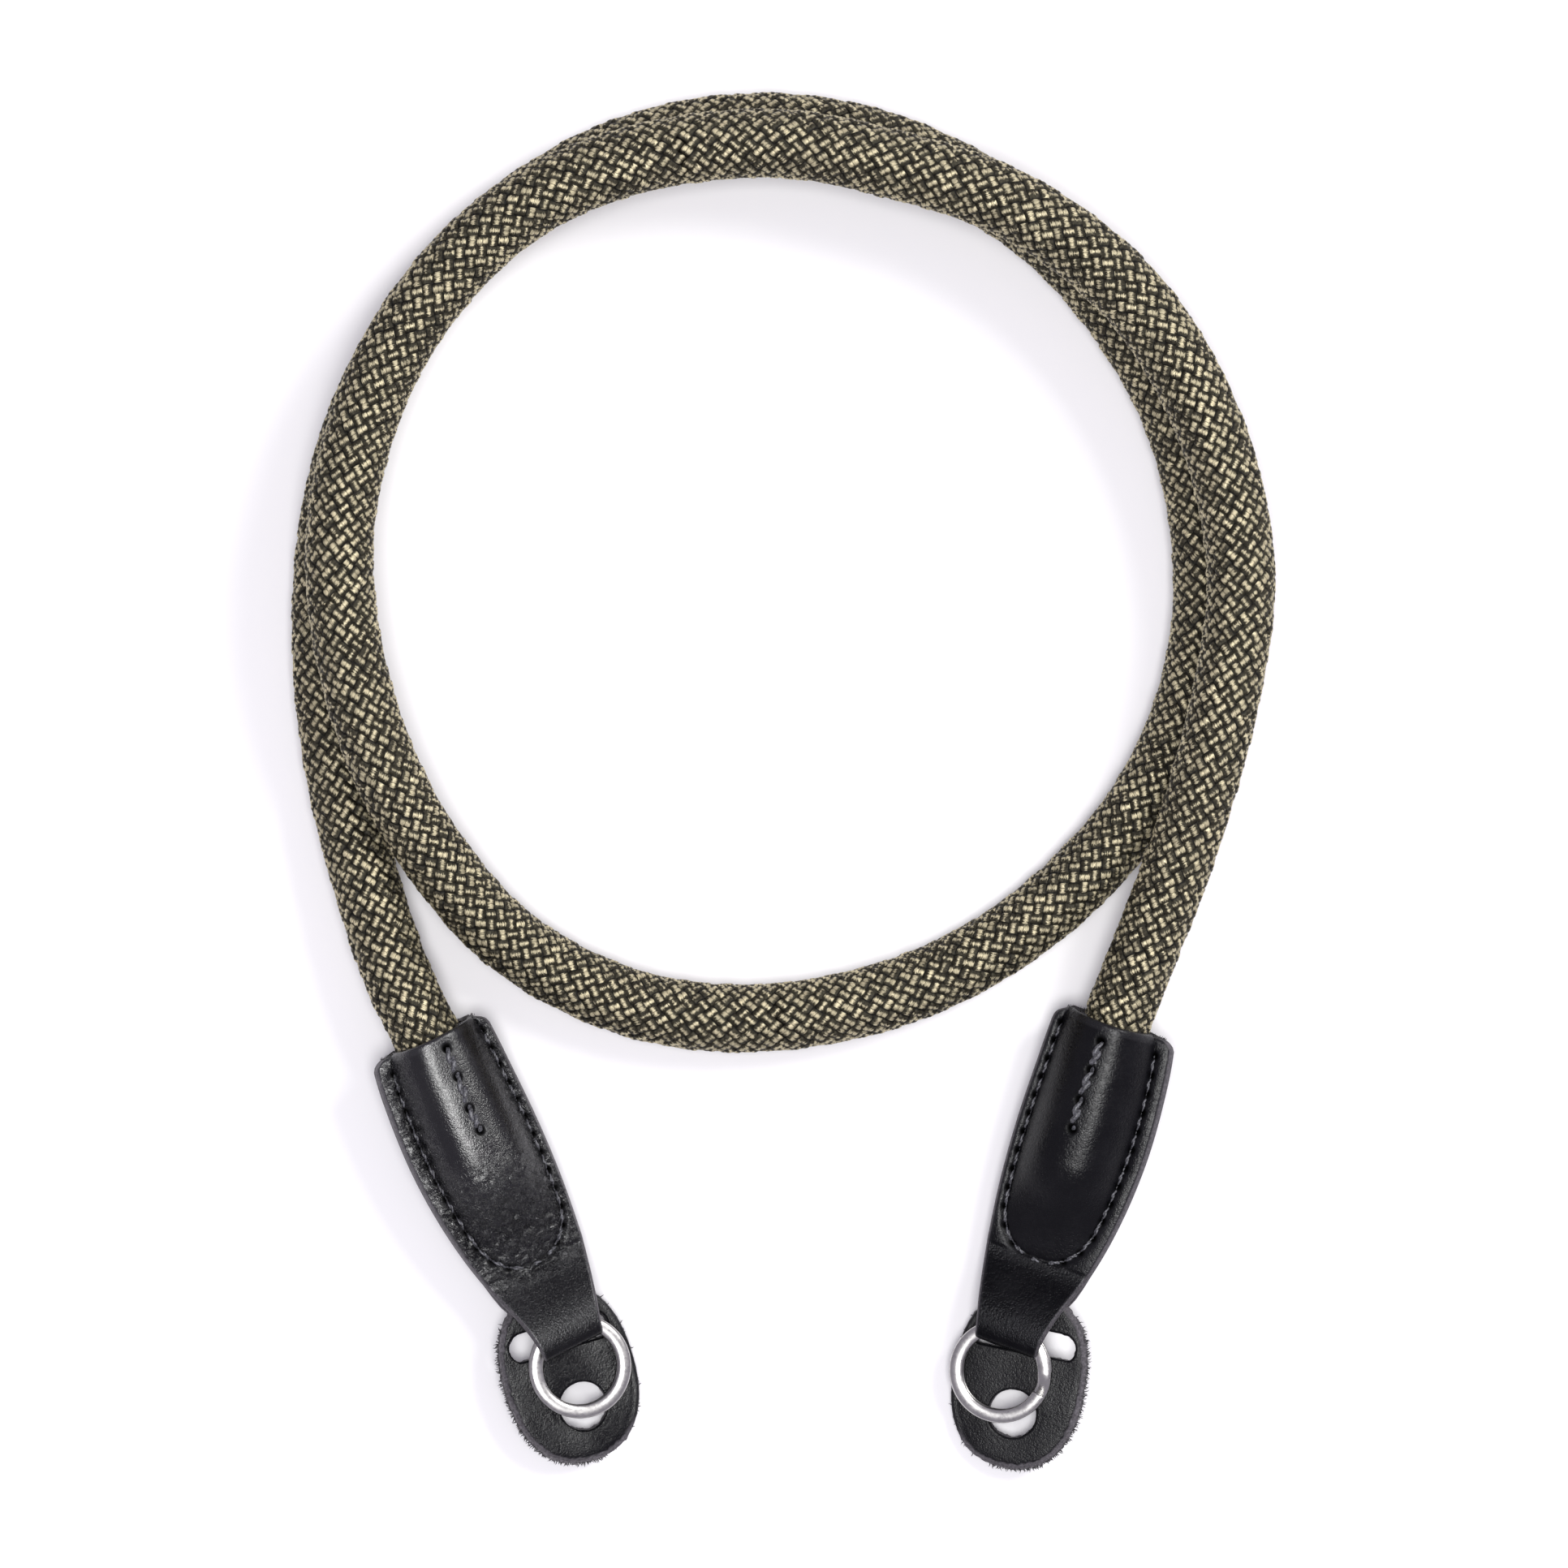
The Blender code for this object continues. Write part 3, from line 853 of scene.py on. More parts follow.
def make_sheath(name, line, first, last, pitch, depth, material):
    """A closed length of braid. Each diamond cell is one float of two yarns, and rows cross in turn."""
    stations = np.array(CELL_STATIONS)
    count = len(stations) - 1
    cells = np.array(sheath_rows(first, last))
    steps_m, steps_l = np.meshgrid(np.arange(count + 1), np.arange(count + 1), indexing="ij")
    lattice_a = cells[:, 0, None, None] * count + steps_m
    lattice_b = cells[:, 1, None, None] * count + steps_l
    around = (lattice_a + lattice_b) % (2 * CELLS_AROUND * count)
    forward = lattice_b - lattice_a
    keys = (forward - forward.min()) * (2 * CELLS_AROUND * count) + around
    _, first_seen, index = np.unique(keys.ravel(), return_index=True, return_inverse=True)
    index = index.reshape(keys.shape)
    place_a = cells[:, 0, None, None] + stations[steps_m]
    place_b = cells[:, 1, None, None] + stations[steps_l]
    crossed = (cells[:, 2] % 2 == 1)[:, None, None]
    along = np.where(crossed, stations[steps_l], stations[steps_m])
    across = np.where(crossed, stations[steps_m], stations[steps_l])
    swell = 1 - 0.45 * np.abs(2 * along - 1) ** 2.2
    yarns = 0.97 - 0.08 * np.abs(4 * np.abs(across - 0.5) - 1) ** 2 - 0.24 * (across == 0.5)
    border = np.where((along == 0) | (along == 1), across, along)
    edge = 0.5 * (1 - np.abs(2 * border - 1) ** 2.6)
    on_border = (along == 0) | (along == 1) | (across == 0) | (across == 1)
    rise = np.where(on_border, edge, swell * yarns)
    angle = (place_a + place_b).ravel()[first_seen] * math.pi / CELLS_AROUND
    distance = (place_b - place_a).ravel()[first_seen]
    radius = ROPE_DIAMETER / 2 + 0.00005 - depth * (1 - rise.ravel()[first_seen])
    seed = cells[:, 0] * 12.9898 + cells[:, 1] * 78.233
    chance = np.abs(np.modf(np.sin(seed) * 43758.5453)[0])
    bulge = ((chance[:, None, None] - 0.5) * 0.00022 * rise).ravel()[first_seen]
    radius = radius + bulge
    lengths = lengths_along(line)
    distance = distance * (lengths[-1] / sheath_row_count(line, pitch))
    centre, side, up = (rows_at(distance, lengths, rows) for rows in (line, *carried_frames(line)))
    wobble = SHEATH_SWELL * np.sin(distance * 800 + np.sin(angle * 2) * 2)
    outward = np.cos(angle)[:, None] * side + np.sin(angle)[:, None] * up
    points = centre + (radius + wobble)[:, None] * outward
    quads = np.stack(
        [index[:, :-1, :-1], index[:, 1:, :-1], index[:, 1:, 1:], index[:, :-1, 1:]], axis=-1
    ).reshape(-1, 4)
    weave = np.stack(
        [across, along, np.broadcast_to(chance[:, None, None], across.shape)], axis=-1
    )
    corners = np.stack(
        [weave[:, :-1, :-1], weave[:, 1:, :-1], weave[:, 1:, 1:], weave[:, :-1, 1:]], axis=-2
    ).reshape(-1, 4, 3)
    faces = quads.tolist()
    points = points.tolist()
    corners = corners.tolist()
    for rows, at_start in ((cells[:, 2] == first, True), (cells[:, 2] == last - 1, False)):
        loop = []
        for cell in np.nonzero(rows)[0]:
            grid = index[cell]
            if at_start:
                path = [grid[m, 0] for m in range(count + 1)] + [grid[count, l] for l in range(1, count + 1)]
            else:
                path = [grid[0, l] for l in range(count + 1)] + [grid[m, count] for m in range(1, count + 1)]
            loop += path[:-1]
        centre_at = len(points)
        points.append(np.mean([points[i] for i in loop], axis=0).tolist())
        for here, there in zip(loop, loop[1:] + loop[:1]):
            face = (here, there, centre_at) if not at_start else (there, here, centre_at)
            faces.append(face)
            corners.append([[0.0, 0.0, 0.5]] * 3)
    piece = make_piece(name, points, faces, material)
    flat = [corner for face in corners for corner in face]
    add_attribute(piece, "yarn", flat, "CORNER", "FLOAT_VECTOR")
    point_faces_outward(piece)
    return piece


def point_faces_outward(piece):
    """Turns the whole mesh round if its volume is negative."""
    mesh = piece.data
    mesh.calc_loop_triangles()
    points = np.empty(len(mesh.vertices) * 3, np.float32)
    mesh.vertices.foreach_get("co", points)
    faces = np.empty(len(mesh.loop_triangles) * 3, np.int32)
    mesh.loop_triangles.foreach_get("vertices", faces)
    corners = points.reshape(-1, 3).astype(float)[faces.reshape(-1, 3)]
    if np.einsum("ij,ij->i", corners[:, 0], np.cross(corners[:, 1], corners[:, 2])).sum() < 0:
        mesh.flip_normals()


def sheath_row_count(line, pitch):
    return 2 * round(lengths_along(line)[-1] / pitch / 2)


def make_rope(sizes, colours):
    line = rope_line()
    curve = bpy.data.curves.new("rope_core", "CURVE")
    curve.dimensions = "3D"
    curve.use_fill_caps = True
    curve.bevel_depth = CORE_RADIUS
    curve.bevel_resolution = 4
    route = line[::4]
    if len(line) % 4 != 1:
        route = np.vstack([route, line[-1]])
    add_spline(curve, route)
    curve.materials.append(core_material(colours))
    core = add_object("rope_core", curve)
    material = yarn_material(colours)
    total = sheath_row_count(line, sizes.braid_pitch)
    hidden = round((ROPE_IN_POCKET - SHEATH_IN_POCKET) / sizes.braid_pitch)
    shown = total - 2 * hidden
    cuts = [hidden + round(shown * share / PIECES_OF_SHEATH) for share in range(PIECES_OF_SHEATH + 1)]
    for number, (first, last) in enumerate(zip(cuts, cuts[1:])):
        name = "rope_sheath_" + "abcdefgh"[number]
        piece = make_sheath(name, line, first, last, sizes.braid_pitch, sizes.braid_depth, material)
        finish_piece(piece, "braided_rope")
    finish_piece(core, "braided_rope", "rope")


def pocket_rows(end, count, side):
    """Rows of the strip's front or back layer, from the mouth to the neck."""
    insets = MOUTH_EDGE + [(inset, 1.0) for inset in np.linspace(MOUTH_FIRST_ROW, POCKET_DEPTH, count)]
    rows = []
    for inset, thickness in insets:
        along = TAB_LENGTH - inset
        height = partial(layer_height, end, side, along)
        rows.append((along, bow_at(along), height, outline_half_width(along), thickness, side))
    return rows


def eye_rows(end):
    """Rows of the strip from the front layer through the ring to the back layer."""
    thin = FOLD_LEATHER / TAB_LEATHER
    bow = bow_at(NECK_LENGTH)
    half_width = outline_half_width(NECK_LENGTH)
    controls = [(NECK_LENGTH, bow, LAYER_HEIGHT, half_width, 1.0)]
    for table, height in ((EYE_FRONT, CREST_HEIGHT), (EYE_BACK, -UNDER_PAD)):
        for share, level, spread in table:
            along = share * NECK_LENGTH + (1 - spread) * end["ring_slack"]
            width = EYE_HALF_WIDTH + spread * (outline_half_width(along) - EYE_HALF_WIDTH)
            thickness = thin + (1 - thin) * min(share / 0.3, 1.0)
            middle = bow_at(along) + (1 - share) * end["ring_shift"]
            controls.append((along, middle, level * height, width, thickness))
    controls.append((NECK_LENGTH, bow, -LAYER_HEIGHT, half_width, 1.0))
    rows = []
    for along, middle, level, width, thickness in catmull_rom(controls, 6)[1:-1]:
        rows.append((along, middle, partial(flat_height, level), width, thickness, 0))
    return rows


def strip_rows(end):
    """Rows of the folded strip as (along, middle, height function, half width, thickness, layer).

    The layer is 1 in front, 0 in the eye round the ring and -1 behind.
    """
    return pocket_rows(end, FRONT_ROWS, 1) + eye_rows(end) + pocket_rows(end, BACK_ROWS, -1)[::-1]


def tab_columns():
    """Places across the strip from -1 to 1, closer together at the margins."""
    even = np.linspace(-1, 1, 63)
    return even - 0.055 * np.sin(2 * math.pi * even)


def soft_noise(points, scale, seed):
    return np.array([noise.noise(Vector((x * scale + seed, y * scale, z * scale))) for x, y, z in points])


def nearest(points, targets):
    """Distance from each point to the closest target."""
    best = np.full(len(points), 1e9)
    for target in np.asarray(targets):
        best = np.minimum(best, ((points - target) ** 2).sum(axis=1))
    return np.sqrt(best)


def make_tab(end, holes, material):
    rows = strip_rows(end)
    columns = tab_columns()
    surface = []
    for along, middle, height, half_width, thickness, layer in rows:
        inset = 1 - 0.35 * TAB_LEATHER * thickness / half_width
        widths = {side: half_width - (corner_cut(end, along, side) if layer else 0.0) for side in (-1, 1)}
        spread = (half_width - EYE_HALF_WIDTH) / (outline_half_width(along) - EYE_HALF_WIDTH)
        widths[-end["outward"]] += NECK_GAIN * bell(along - 0.007, 0.007) * max(spread, 0.0) ** 4
        for column in columns:
            across = column * widths[1 if column >= 0 else -1] * inset
            surface.append((end["outward"] * middle + across, along, height(across)))
    surface = np.array(surface).reshape(len(rows), len(columns), 3)
    down = np.gradient(surface, axis=0)
    over = np.gradient(surface, axis=1)
    normal = np.cross(down, over)
    normal /= np.linalg.norm(normal, axis=2)[:, :, None]
    over /= np.linalg.norm(over, axis=2)[:, :, None]
    half = np.array([row[4] for row in rows])[:, None, None] * TAB_LEATHER / 2
    layer = np.array([row[5] for row in rows])
    across = surface[:, :, 0] - end["outward"] * np.array([row[1] for row in rows])[:, None]
    flat = np.stack([surface[:, :, 1], across], axis=2).reshape(-1, 2)
    path = seam_path(end)
    to_seam = nearest(flat, path[::2]).reshape(across.shape)
    to_hole = nearest(flat, holes).reshape(across.shape)
    middles = np.array(end["middle_stitches"])
    to_middle = nearest(flat, middles).reshape(across.shape)
    front = (layer == 1)[:, None] * np.ones_like(across)
    outside = (layer != 0)[:, None] * np.ones_like(across)
    depth = -0.00020 * bell(to_seam, 0.0005) * outside
    depth = depth - 0.00070 * bell(to_hole, 0.00040) * outside
    depth = depth - 0.00080 * bell(to_middle, 0.00060, 4) * front
    to_edge = np.array([row[3] for row in rows])[:, None] - np.abs(across)
    beyond = np.array([abs(seam_across(end, row[0], 1)) for row in rows])[:, None]
    inward = np.array([abs(seam_across(end, row[0], -1)) for row in rows])[:, None]
    in_margin = np.abs(across) > np.where(across > 0, beyond, inward)
    place = np.clip(to_edge / (to_edge + to_seam + 1e-6), 0, 1)
    depth = depth + MARGIN_SWELL * 4 * place * (1 - place) * in_margin * outside
    waves = soft_noise(surface.reshape(-1, 3), 170.0, 3.0 * end["outward"]).reshape(across.shape)
    depth = depth + 0.00010 * waves * outside
    crease = np.zeros_like(across)
    if end["creased"]:
        level = surface[:, :, 1]
        crease = np.exp(-(((level - 0.0235) / 0.0075) ** 2)) * (layer >= 0)[:, None]
        crease = np.maximum(crease, 0.8 * np.exp(-((to_seam / 0.0020) ** 2)) * (layer >= 0)[:, None])
        folds = soft_noise(surface.reshape(-1, 3) * (1.0, 1.6, 1.0), 560.0, 7.0).reshape(across.shape)
        depth = depth + crease * 0.00042 * (0.4 - 2.2 * np.abs(folds))
    # Painted shade in the stitch holes: they are painted near-black and lose their reflection.
    hole = np.clip(1.6 * bell(to_hole, 0.00055), 0, 1) * outside
    hole = np.maximum(hole, np.clip(1.6 * bell(to_middle, 0.00075), 0, 1) * front)
    top = surface + normal * (half + depth[:, :, None])
    bottom = surface - normal * half
    arc = np.radians([60, 36, 12, -12, -36, -60])
    pieces = [top]
    left_arc = []
    right_arc = []
    for angle in arc:
        reach = 0.7 * half[:, 0] * math.cos(angle) * (1 + 0.06 * math.cos(angle * 3))
        right_arc.append(surface[:, -1] + over[:, -1] * reach + normal[:, -1] * half[:, 0] * math.sin(angle))
        left_arc.append(surface[:, 0] - over[:, 0] * reach + normal[:, 0] * half[:, 0] * math.sin(angle))
    pieces.append(np.stack(right_arc, axis=1))
    pieces.append(bottom[:, ::-1])
    pieces.append(np.stack(left_arc[::-1], axis=1))
    points = np.concatenate(pieces, axis=1)
    count = points.shape[1]
    zero = np.zeros((len(rows), count))
    sizes = [len(columns), len(arc), len(columns), len(arc)]
    hole_shade_marks = zero.copy()
    hole_shade_marks[:, : sizes[0]] = hole
    crease_marks = zero.copy()
    crease_marks[:, : sizes[0]] = crease
    # The tab's outer columns, edge walls and mouth are lighter: partly edge wear, partly a painted highlight.
    wear_and_highlight = zero.copy()
    wear_and_highlight[:, : sizes[0]] = np.exp(-(((1 - np.abs(columns)) / 0.03) ** 2))[None, :]
    wear_and_highlight[:, sizes[0] : sizes[0] + sizes[1]] = 0.9
    wear_and_highlight[:, -sizes[3] :] = 0.9
    wear_and_highlight[:6, :] = np.maximum(wear_and_highlight[:6, :], 0.6)
    # The edge walls take the raw cut colour: partly the real cut edge, partly a painted reflection of the light
    # on the walls.
    raw = zero.copy()
    raw[:, sizes[0] : sizes[0] + sizes[1]] = 0.9
    raw[:, -sizes[3] :] = 0.9
    # Painted shade on the neck and round the ring, whose reflection the leather's black metal share takes out.
    painted_neck_shade = zero + 1 / (1 + np.exp((np.array([row[0] for row in rows])[:, None] - 0.0165) / 0.0009))
    points = moved(points.reshape(-1, 3), end_matrix(end))
    tab = make_piece("leather_tab_" + end["name"], points, tube_faces(len(rows), count), material)
    add_attribute(tab, "hole", hole_shade_marks)
    add_attribute(tab, "crease", crease_marks)
    add_attribute(tab, "wear_and_highlight", wear_and_highlight)
    add_attribute(tab, "raw", raw)
    add_attribute(tab, "painted_neck_shade", painted_neck_shade)
    point_faces_outward(tab)
    finish_piece(tab, "black_leather", "end_tab_" + end["name"])
    return tab


def thread_points(start, finish, lift, sag):
    """A stitch's middle line from hole to hole, up out of the first and down into the next."""
    points = []
    for step in range(11):
        share = step / 10
        height = lift - sag * abs(2 * share - 1) ** 2
        points.append((*((1 - share) * np.array(start) + share * np.array(finish)), height))
    return points


def make_stitches(end, holes, sizes, material):
    """Saddle stitches on the front and the back of a tab, each of two plies laid round each other."""
    all_points = []
    all_faces = []
    middles = np.array(end["middle_stitches"])
    thread = sizes.thread_diameter
    circle = np.array([(math.cos(a), math.sin(a)) for a in np.linspace(0, 2 * math.pi, 7)[:-1]])
    runs = [(holes, 1, thread, 0.0013), (holes, -1, thread, 0.0013), (middles, 1, 2.5 * thread, 0.0017)]
    for run, side, thickness, sag in runs:
        for start, finish in zip(run, run[1:]):
            line = []
            for along, across, height in thread_points(start, finish, 0.00008, sag):
                level = pocket_height(end, along, across) + TAB_LEATHER / 2 + height
                line.append((end["outward"] * bow_at(along) + across, along, side * level))
            line = np.array(line)
            sides, ups = carried_frames(line)
            turns = np.linspace(0, 2.6 * math.pi, len(line))
            for phase in (0.0, math.pi):
                twist = turns + phase
                around = np.cos(twist)[:, None] * sides + np.sin(twist)[:, None] * ups
                ply = line + thickness * 0.24 * around
                points, faces = sweep(ply, thickness * 0.30 * circle, sides, ups)
                shift = sum(len(group) for group in all_points)
                all_points.append(points)
                all_faces += [tuple(i + shift for i in face) for face in faces]
    points = moved(np.concatenate(all_points), end_matrix(end))
    piece = make_piece("saddle_stitches_" + end["name"], points, all_faces, material)
    point_faces_outward(piece)
    finish_piece(piece, "black_leather")


def make_ring(end, material):
    """A flattened steel wire in two turns, climbing from the lower to the upper one at a crossover."""
    radius = (RING_OUTER_DIAMETER - RING_WIRE_WIDTH) / 2
    climb = RING_WIRE_HEIGHT + RING_COIL_GAP
    crossover = math.radians(28)
    total = 4 * math.pi - crossover
    steps = 250
    path = []
    sides = []
    for step in range(steps + 1):
        angle = crossover + total * step / steps
        share = min(max((angle - 2 * math.pi) / crossover, 0.0), 1.0)
        level = RING_WIRE_HEIGHT / 2 + climb * share**2 * (3 - 2 * share)
        angle += end["ring_turn"]
        sides.append((math.cos(angle), math.sin(angle), 0.0))
        path.append((radius * math.cos(angle), radius * math.sin(angle), level))
    ups = [(0.0, 0.0, 1.0)] * len(path)
    profile = oval_points(RING_WIRE_HEIGHT, RING_WIRE_WIDTH, 2.05, 28)
    points, faces = sweep(path, profile, sides, ups)
    points = moved(points, end_matrix(end) @ ring_matrix(end))
    ring = make_piece("steel_ring_" + end["name"], points, faces, material)
    point_faces_outward(ring)
    ring.data.shade_smooth()
    finish_piece(ring, "steel", "split_ring_" + end["name"])


def pad_outlines(end, inset=0.0):
    """The pad's rim, slot and lug hole as lists of points, each drawn inward into the leather by inset."""
    radius = SLOT_HEIGHT / 2
    reach = SLOT_LENGTH / 2 - radius
    slot = []
    for side in (1, -1):
        for step in range(21):
            angle = math.pi * (step / 20 - 0.5)
            x = side * (reach + (radius + inset) * math.cos(angle))
            y = max(side * (radius + inset) * math.sin(angle), end["slot_raise"] - radius - inset)
            slot.append((x, SLOT_ABOVE_CENTRE + y))
    shift = end["outward"] * end["hole_shift"]
    size = LUG_HOLE_DIAMETER + 2 * inset
    hole = [(x + shift, y - LUG_HOLE_BELOW_CENTRE) for x, y in oval_points(size, size, 2, 48)]
    rim = oval_points(PAD_LENGTH - 2 * inset, PAD_WIDTH - 2 * inset, PAD_SQUARENESS, 160)
    return rim, slot, hole


def pad_outline_curve(name, end):
    curve = bpy.data.curves.new(name, "CURVE")
    curve.dimensions = "2D"
    curve.fill_mode = "BOTH"
    curve.extrude = PAD_LEATHER / 2 - PAD_BEVEL
    curve.bevel_depth = PAD_BEVEL
    curve.bevel_resolution = 3
    for outline in pad_outlines(end, PAD_BEVEL):
        add_spline(curve, [(x, y, 0.0) for x, y in outline]).use_cyclic_u = True
    return curve


def make_pad(end, material):
    """An oval leather pad with a slot for the strip and a round hole, its rims rubbed round."""
    name = "leather_pad_" + end["name"]
    flat = add_object(name, pad_outline_curve(name, end))
    bpy.ops.object.select_all(action="DESELECT")
    bpy.context.view_layer.objects.active = flat
    flat.select_set(True)
    bpy.ops.object.convert(target="MESH")
    pad = bpy.context.view_layer.objects.active
    bpy.ops.object.mode_set(mode="EDIT")
    bpy.ops.mesh.select_all(action="SELECT")
    bpy.ops.mesh.remove_doubles(threshold=0.000002)
    bpy.ops.mesh.normals_make_consistent(inside=False)
    bpy.ops.object.mode_set(mode="OBJECT")
    bpy.ops.object.modifier_add(type="REMESH")
    remesh = pad.modifiers[-1]
    remesh.mode = "VOXEL"
    remesh.voxel_size = 0.00025
    bpy.ops.object.modifier_apply(modifier=remesh.name)
    bpy.ops.object.modifier_add(type="SMOOTH")
    pad.modifiers[-1].factor = 0.5
    pad.modifiers[-1].iterations = 2
    bpy.ops.object.modifier_apply(modifier=pad.modifiers[-1].name)
    mesh = pad.data
    points = np.empty(len(mesh.vertices) * 3, np.float32)
    mesh.vertices.foreach_get("co", points)
    points = points.reshape(-1, 3).astype(float)
    outlines = pad_outlines(end)
    to_rim = nearest(points[:, :2], outlines[0])
    to_holes = nearest(points[:, :2], outlines[1] + outlines[2])
    above = np.clip(points[:, 2] / (PAD_LEATHER / 2), 0, 1) ** 2
    press = 0.00005 * bell(to_rim - 0.0011, 0.0003) + 0.00003 * bell(to_holes - 0.0008, 0.0004)
    waves = soft_noise(points, 140.0, 2.0 + end["outward"])
    points[:, 2] += above * (end["pad_swell"] * waves - press)
    rough = soft_noise(points, 1100.0, 9.0)
    wall = np.exp(-((np.minimum(to_rim, to_holes) / 0.0003) ** 2))
    away = points[:, :2] / np.linalg.norm(points[:, :2], axis=1)[:, None]
    raw = wall * np.clip(1 - 2.2 * above, 0, 1)
    points[:, :2] += away * (raw * 0.00040 * rough)[:, None]
    toward = 2 * points[:, 0] * end["outward"] / PAD_WIDTH
    toward = toward - 1.2 * np.minimum(points[:, 1], 0.006) / PAD_LENGTH
    frayed = np.clip(1.5 * toward + 0.6, 0, 1) * np.clip(1 - to_rim / (0.0009 + 0.0003 * rough), 0, 1)
    points[:, 2] -= above * frayed * 0.0011
    raw = np.maximum(raw, np.clip(3 * frayed, 0, 1) * (points[:, 2] > -PAD_LEATHER / 2 + 0.0001))
    mesh.vertices.foreach_set("co", points.astype(np.float32).ravel())
    mesh.materials.clear()
    mesh.materials.append(material)
    mesh.shade_smooth()
    add_attribute(pad, "raw", np.clip(raw * 1.3, 0, 1))
    # The pad's top rim is lighter: partly edge wear, partly a painted highlight.
    add_attribute(pad, "wear_and_highlight", np.exp(-((to_rim / 0.0005) ** 2)) * above)
    mesh.transform(end_matrix(end) @ pad_matrix(end))
    finish_piece(pad, "black_leather", "ring_pad_" + end["name"])


def make_fibres(end, sizes, material):
    """Short fibres that stand out of the raw rims of the pad and the tab's mouth."""
    rng = np.random.default_rng(end["fibre_seed"])
    points = []
    faces = []

    def add(root, direction, length, width):
        direction = direction / np.linalg.norm(direction)
        side = np.cross(direction, (0.0, 0.0, 1.0))
        side /= np.linalg.norm(side)
        up = np.cross(side, direction)
        shift = len(points)
        bend = root + direction * length * 0.55 + up * length * rng.uniform(-0.15, 0.3)
        for centre, size in ((root - direction * 0.0002, width), (bend, width * 0.7)):
            for angle in (0.3, 2.4, 4.5):
                points.append(centre + size * (math.cos(angle) * side + math.sin(angle) * up))
        points.append(root + direction * length + side * length * rng.uniform(-0.3, 0.3))
        for step in range(3):
            follow = (step + 1) % 3
            faces.append((shift + step, shift + follow, shift + 3 + follow, shift + 3 + step))
            faces.append((shift + 3 + step, shift + 3 + follow, shift + 6))
        faces.append((shift + 2, shift + 1, shift))

    to_world = np.array(end_matrix(end) @ pad_matrix(end))
    rim = np.array(oval_points(PAD_LENGTH, PAD_WIDTH, PAD_SQUARENESS, 720))
    for step in range(0, 720):
        x, y = rim[step]
        outward_side = x * end["outward"] > -0.002
        low = y < 0.010
        chance = 0.85 if outward_side and low else 0.06
        if rng.random() > chance:
            continue
        ahead = rim[(step + 1) % 720] - rim[step]
        out = np.array((ahead[1], -ahead[0], 0.0))
        out /= np.linalg.norm(out)
        out = out + 0.6 * rng.normal(size=3) * (1, 1, 0.5)
        root = np.array((x, y, rng.uniform(-0.85, 0.2) * PAD_LEATHER / 2))
        direction = to_world[:3, :3] @ out
        add(moved([root], to_world)[0], direction, sizes.fibre_length * rng.uniform(0.3, 1.3), 0.00011)
    to_world = np.array(end_matrix(end))
    for _ in range(150):
        side = rng.choice((-1, 1))
        across = side * rng.uniform(0.45, 0.88) * outline_half_width(TAB_LENGTH)
        level = pocket_height(end, TAB_LENGTH, across) * rng.choice((-1, 1))
        level += rng.uniform(-0.4, 0.4) * TAB_LEATHER
        root = np.array((across, TAB_LENGTH, level))
        out = np.array((rng.normal() * 0.6, 1.0, rng.normal() * 0.6))
        length = sizes.fibre_length * rng.uniform(0.2, 0.8)
        add(moved([root], to_world)[0], to_world[:3, :3] @ out, length, 0.00007)
    piece = make_piece("frayed_fibres_" + end["name"], points, faces, material, smooth=False)
    finish_piece(piece, "black_leather")


def add_light(name, size, power, place, aim, colour):
    data = bpy.data.lights.new(name, "AREA")
    data.shape = "SQUARE"
    data.size = size
    data.energy = power
    data.color = colour
    light = add_object(name, data)
    light.location = place
    light.rotation_euler = (Vector(aim) - Vector(place)).to_track_quat("-Z", "Y").to_euler()


def make_stage(colours):
    bpy.ops.object.select_all(action="DESELECT")
    bpy.ops.mesh.primitive_plane_add(size=6.0, location=COIL_MIDDLE)
    floor = bpy.context.active_object
    floor.name = "pale_floor"
    shader = Shader("pale_floor")
    shader.set(Base_Color=tuple(colours.floor), Roughness=0.9)
    shader.surface.inputs["Specular IOR Level"].default_value = 0.1
    floor.data.materials.append(shader.material)
    world = bpy.data.worlds.new("studio")
    world.use_nodes = True
    world.node_tree.nodes["Background"].inputs["Color"].default_value = (0.90, 0.85, 1.0, 1.0)
    world.node_tree.nodes["Background"].inputs["Strength"].default_value = 0.40
    bpy.context.scene.world = world
    bpy.context.scene.view_settings.view_transform = "Standard"
    add_light("top_light", 0.55, 15.5, (0.0, -0.06, 1.45), COIL_MIDDLE, (1.0, 1.0, 0.99))
    add_light("key_light", 0.45, 9.5, (0.80, 0.62, 1.0), COIL_MIDDLE, (1.0, 1.0, 0.97))


def holes_of(end, sizes):
    return even_points(seam_path(end), sizes.stitch_pitch)


class STRAP_OT_camera(bpy.types.Operator):
    """Sets up the camera that looks straight down."""

    bl_idname = "strap.camera"
    bl_label = "Camera"

    def execute(self, context):
        make_camera()
        return {"FINISHED"}


class STRAP_OT_rope(bpy.types.Operator):
    """Makes the rope's core and its braided sheath."""

    bl_idname = "strap.rope"
    bl_label = "Braided rope"

    def execute(self, context):
        make_rope(context.scene.strap_sizes, context.scene.strap_colours)
        return {"FINISHED"}


class STRAP_OT_tabs(bpy.types.Operator):
    """Makes the folded leather tab of each end, with its seam."""

    bl_idname = "strap.tabs"
    bl_label = "Leather tabs"

    def execute(self, context):
        colours = context.scene.strap_colours
        for end in ENDS:
            name = "tab_leather_" + end["name"]
            material = leather_material(name, colours, end["tab_gloss"], end["creased"])
            make_tab(end, holes_of(end, context.scene.strap_sizes), material)
        return {"FINISHED"}


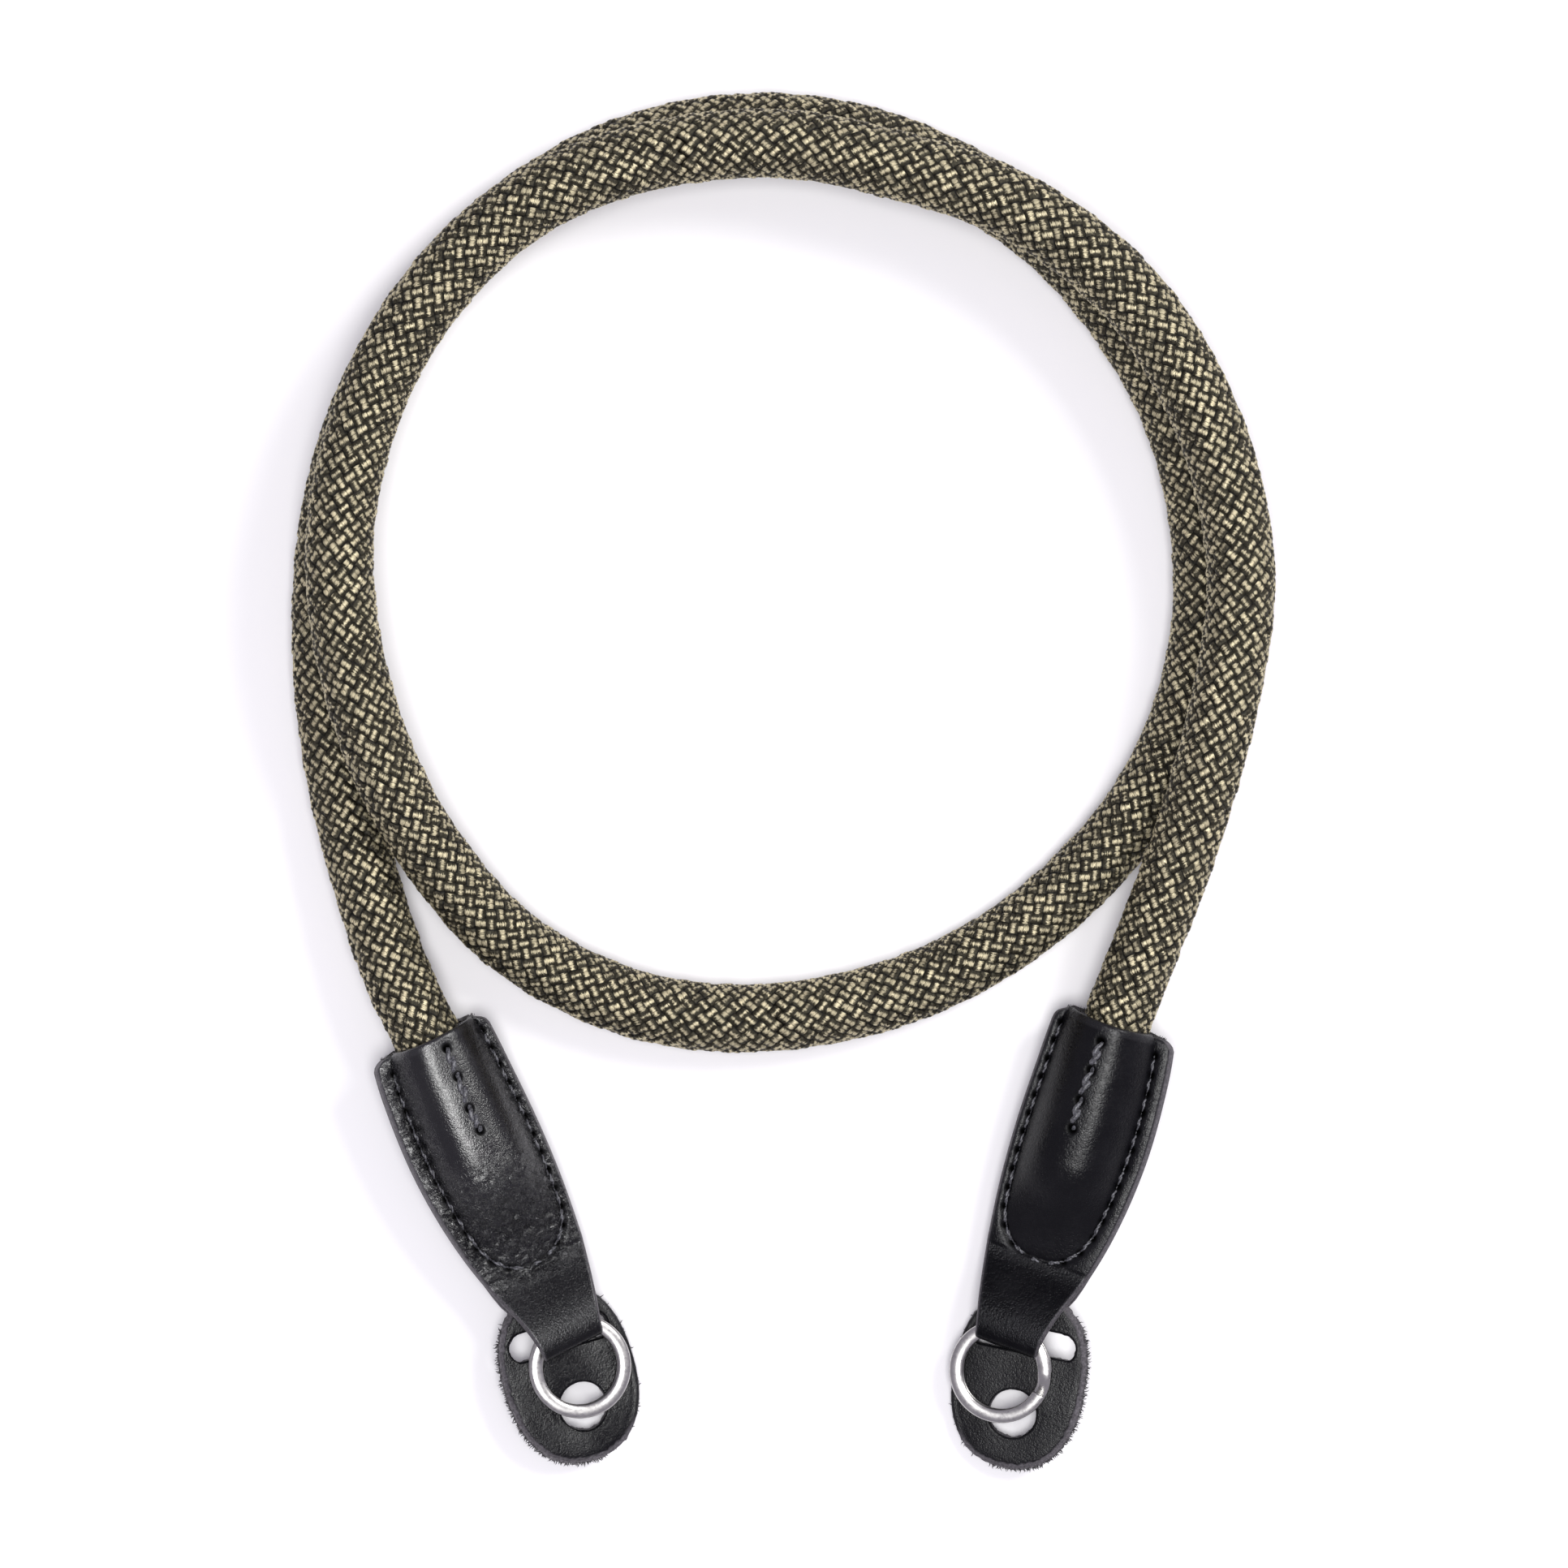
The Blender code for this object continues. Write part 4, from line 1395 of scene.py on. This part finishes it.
class STRAP_OT_stitches(bpy.types.Operator):
    """Makes the saddle stitches along the seams and in the middle of each tab."""

    bl_idname = "strap.stitches"
    bl_label = "Saddle stitches"

    def execute(self, context):
        material = thread_material()
        for end in ENDS:
            make_stitches(end, holes_of(end, context.scene.strap_sizes), context.scene.strap_sizes, material)
        return {"FINISHED"}


class STRAP_OT_rings(bpy.types.Operator):
    """Makes the two steel split rings."""

    bl_idname = "strap.rings"
    bl_label = "Split rings"

    def execute(self, context):
        material = steel_material(context.scene.strap_colours)
        for end in ENDS:
            make_ring(end, material)
        return {"FINISHED"}


class STRAP_OT_pads(bpy.types.Operator):
    """Makes the oval ring pads."""

    bl_idname = "strap.pads"
    bl_label = "Ring pads"

    def execute(self, context):
        colours = context.scene.strap_colours
        for end in ENDS:
            make_pad(end, leather_material("pad_leather_" + end["name"], colours, end["pad_gloss"]))
        return {"FINISHED"}


class STRAP_OT_fibres(bpy.types.Operator):
    """Makes the frayed fibres on the cut edges."""

    bl_idname = "strap.fibres"
    bl_label = "Frayed fibres"

    def execute(self, context):
        material = edge_material(context.scene.strap_colours)
        for end in ENDS:
            make_fibres(end, context.scene.strap_sizes, material)
        return {"FINISHED"}


class STRAP_OT_stage(bpy.types.Operator):
    """Sets up the pale floor and the soft studio light."""

    bl_idname = "strap.stage"
    bl_label = "Stage"

    def execute(self, context):
        make_stage(context.scene.strap_colours)
        return {"FINISHED"}


OPERATORS = (
    STRAP_OT_camera,
    STRAP_OT_rope,
    STRAP_OT_tabs,
    STRAP_OT_stitches,
    STRAP_OT_rings,
    STRAP_OT_pads,
    STRAP_OT_fibres,
    STRAP_OT_stage,
)


class STRAP_PT_panel(bpy.types.Panel):
    """Lists the strap's sizes, colours and making steps in the sidebar."""

    bl_idname = "STRAP_PT_panel"
    bl_label = "Camera neck strap"
    bl_space_type = "VIEW_3D"
    bl_region_type = "UI"
    bl_category = "Strap"

    def draw(self, context):
        layout = self.layout
        for group in (context.scene.strap_sizes, context.scene.strap_colours):
            box = layout.box()
            for name in group.__annotations__:
                box.prop(group, name)
        for operator in OPERATORS:
            layout.operator(operator.bl_idname)


CLASSES = (StrapSizes, StrapColours, *OPERATORS, STRAP_PT_panel)


def register():
    for cls in CLASSES:
        bpy.utils.register_class(cls)
    bpy.types.Scene.strap_sizes = bpy.props.PointerProperty(type=StrapSizes)
    bpy.types.Scene.strap_colours = bpy.props.PointerProperty(type=StrapColours)


def unregister():
    del bpy.types.Scene.strap_colours
    del bpy.types.Scene.strap_sizes
    for cls in reversed(CLASSES):
        bpy.utils.unregister_class(cls)


def main():
    register()
    for end in ENDS:
        end["height"] = find_height(end)
    bpy.ops.strap.camera()
    bpy.ops.strap.rope()
    bpy.ops.strap.tabs()
    bpy.ops.strap.stitches()
    bpy.ops.strap.rings()
    bpy.ops.strap.pads()
    bpy.ops.strap.fibres()
    bpy.ops.strap.stage()


if __name__ == "__main__":
    main()
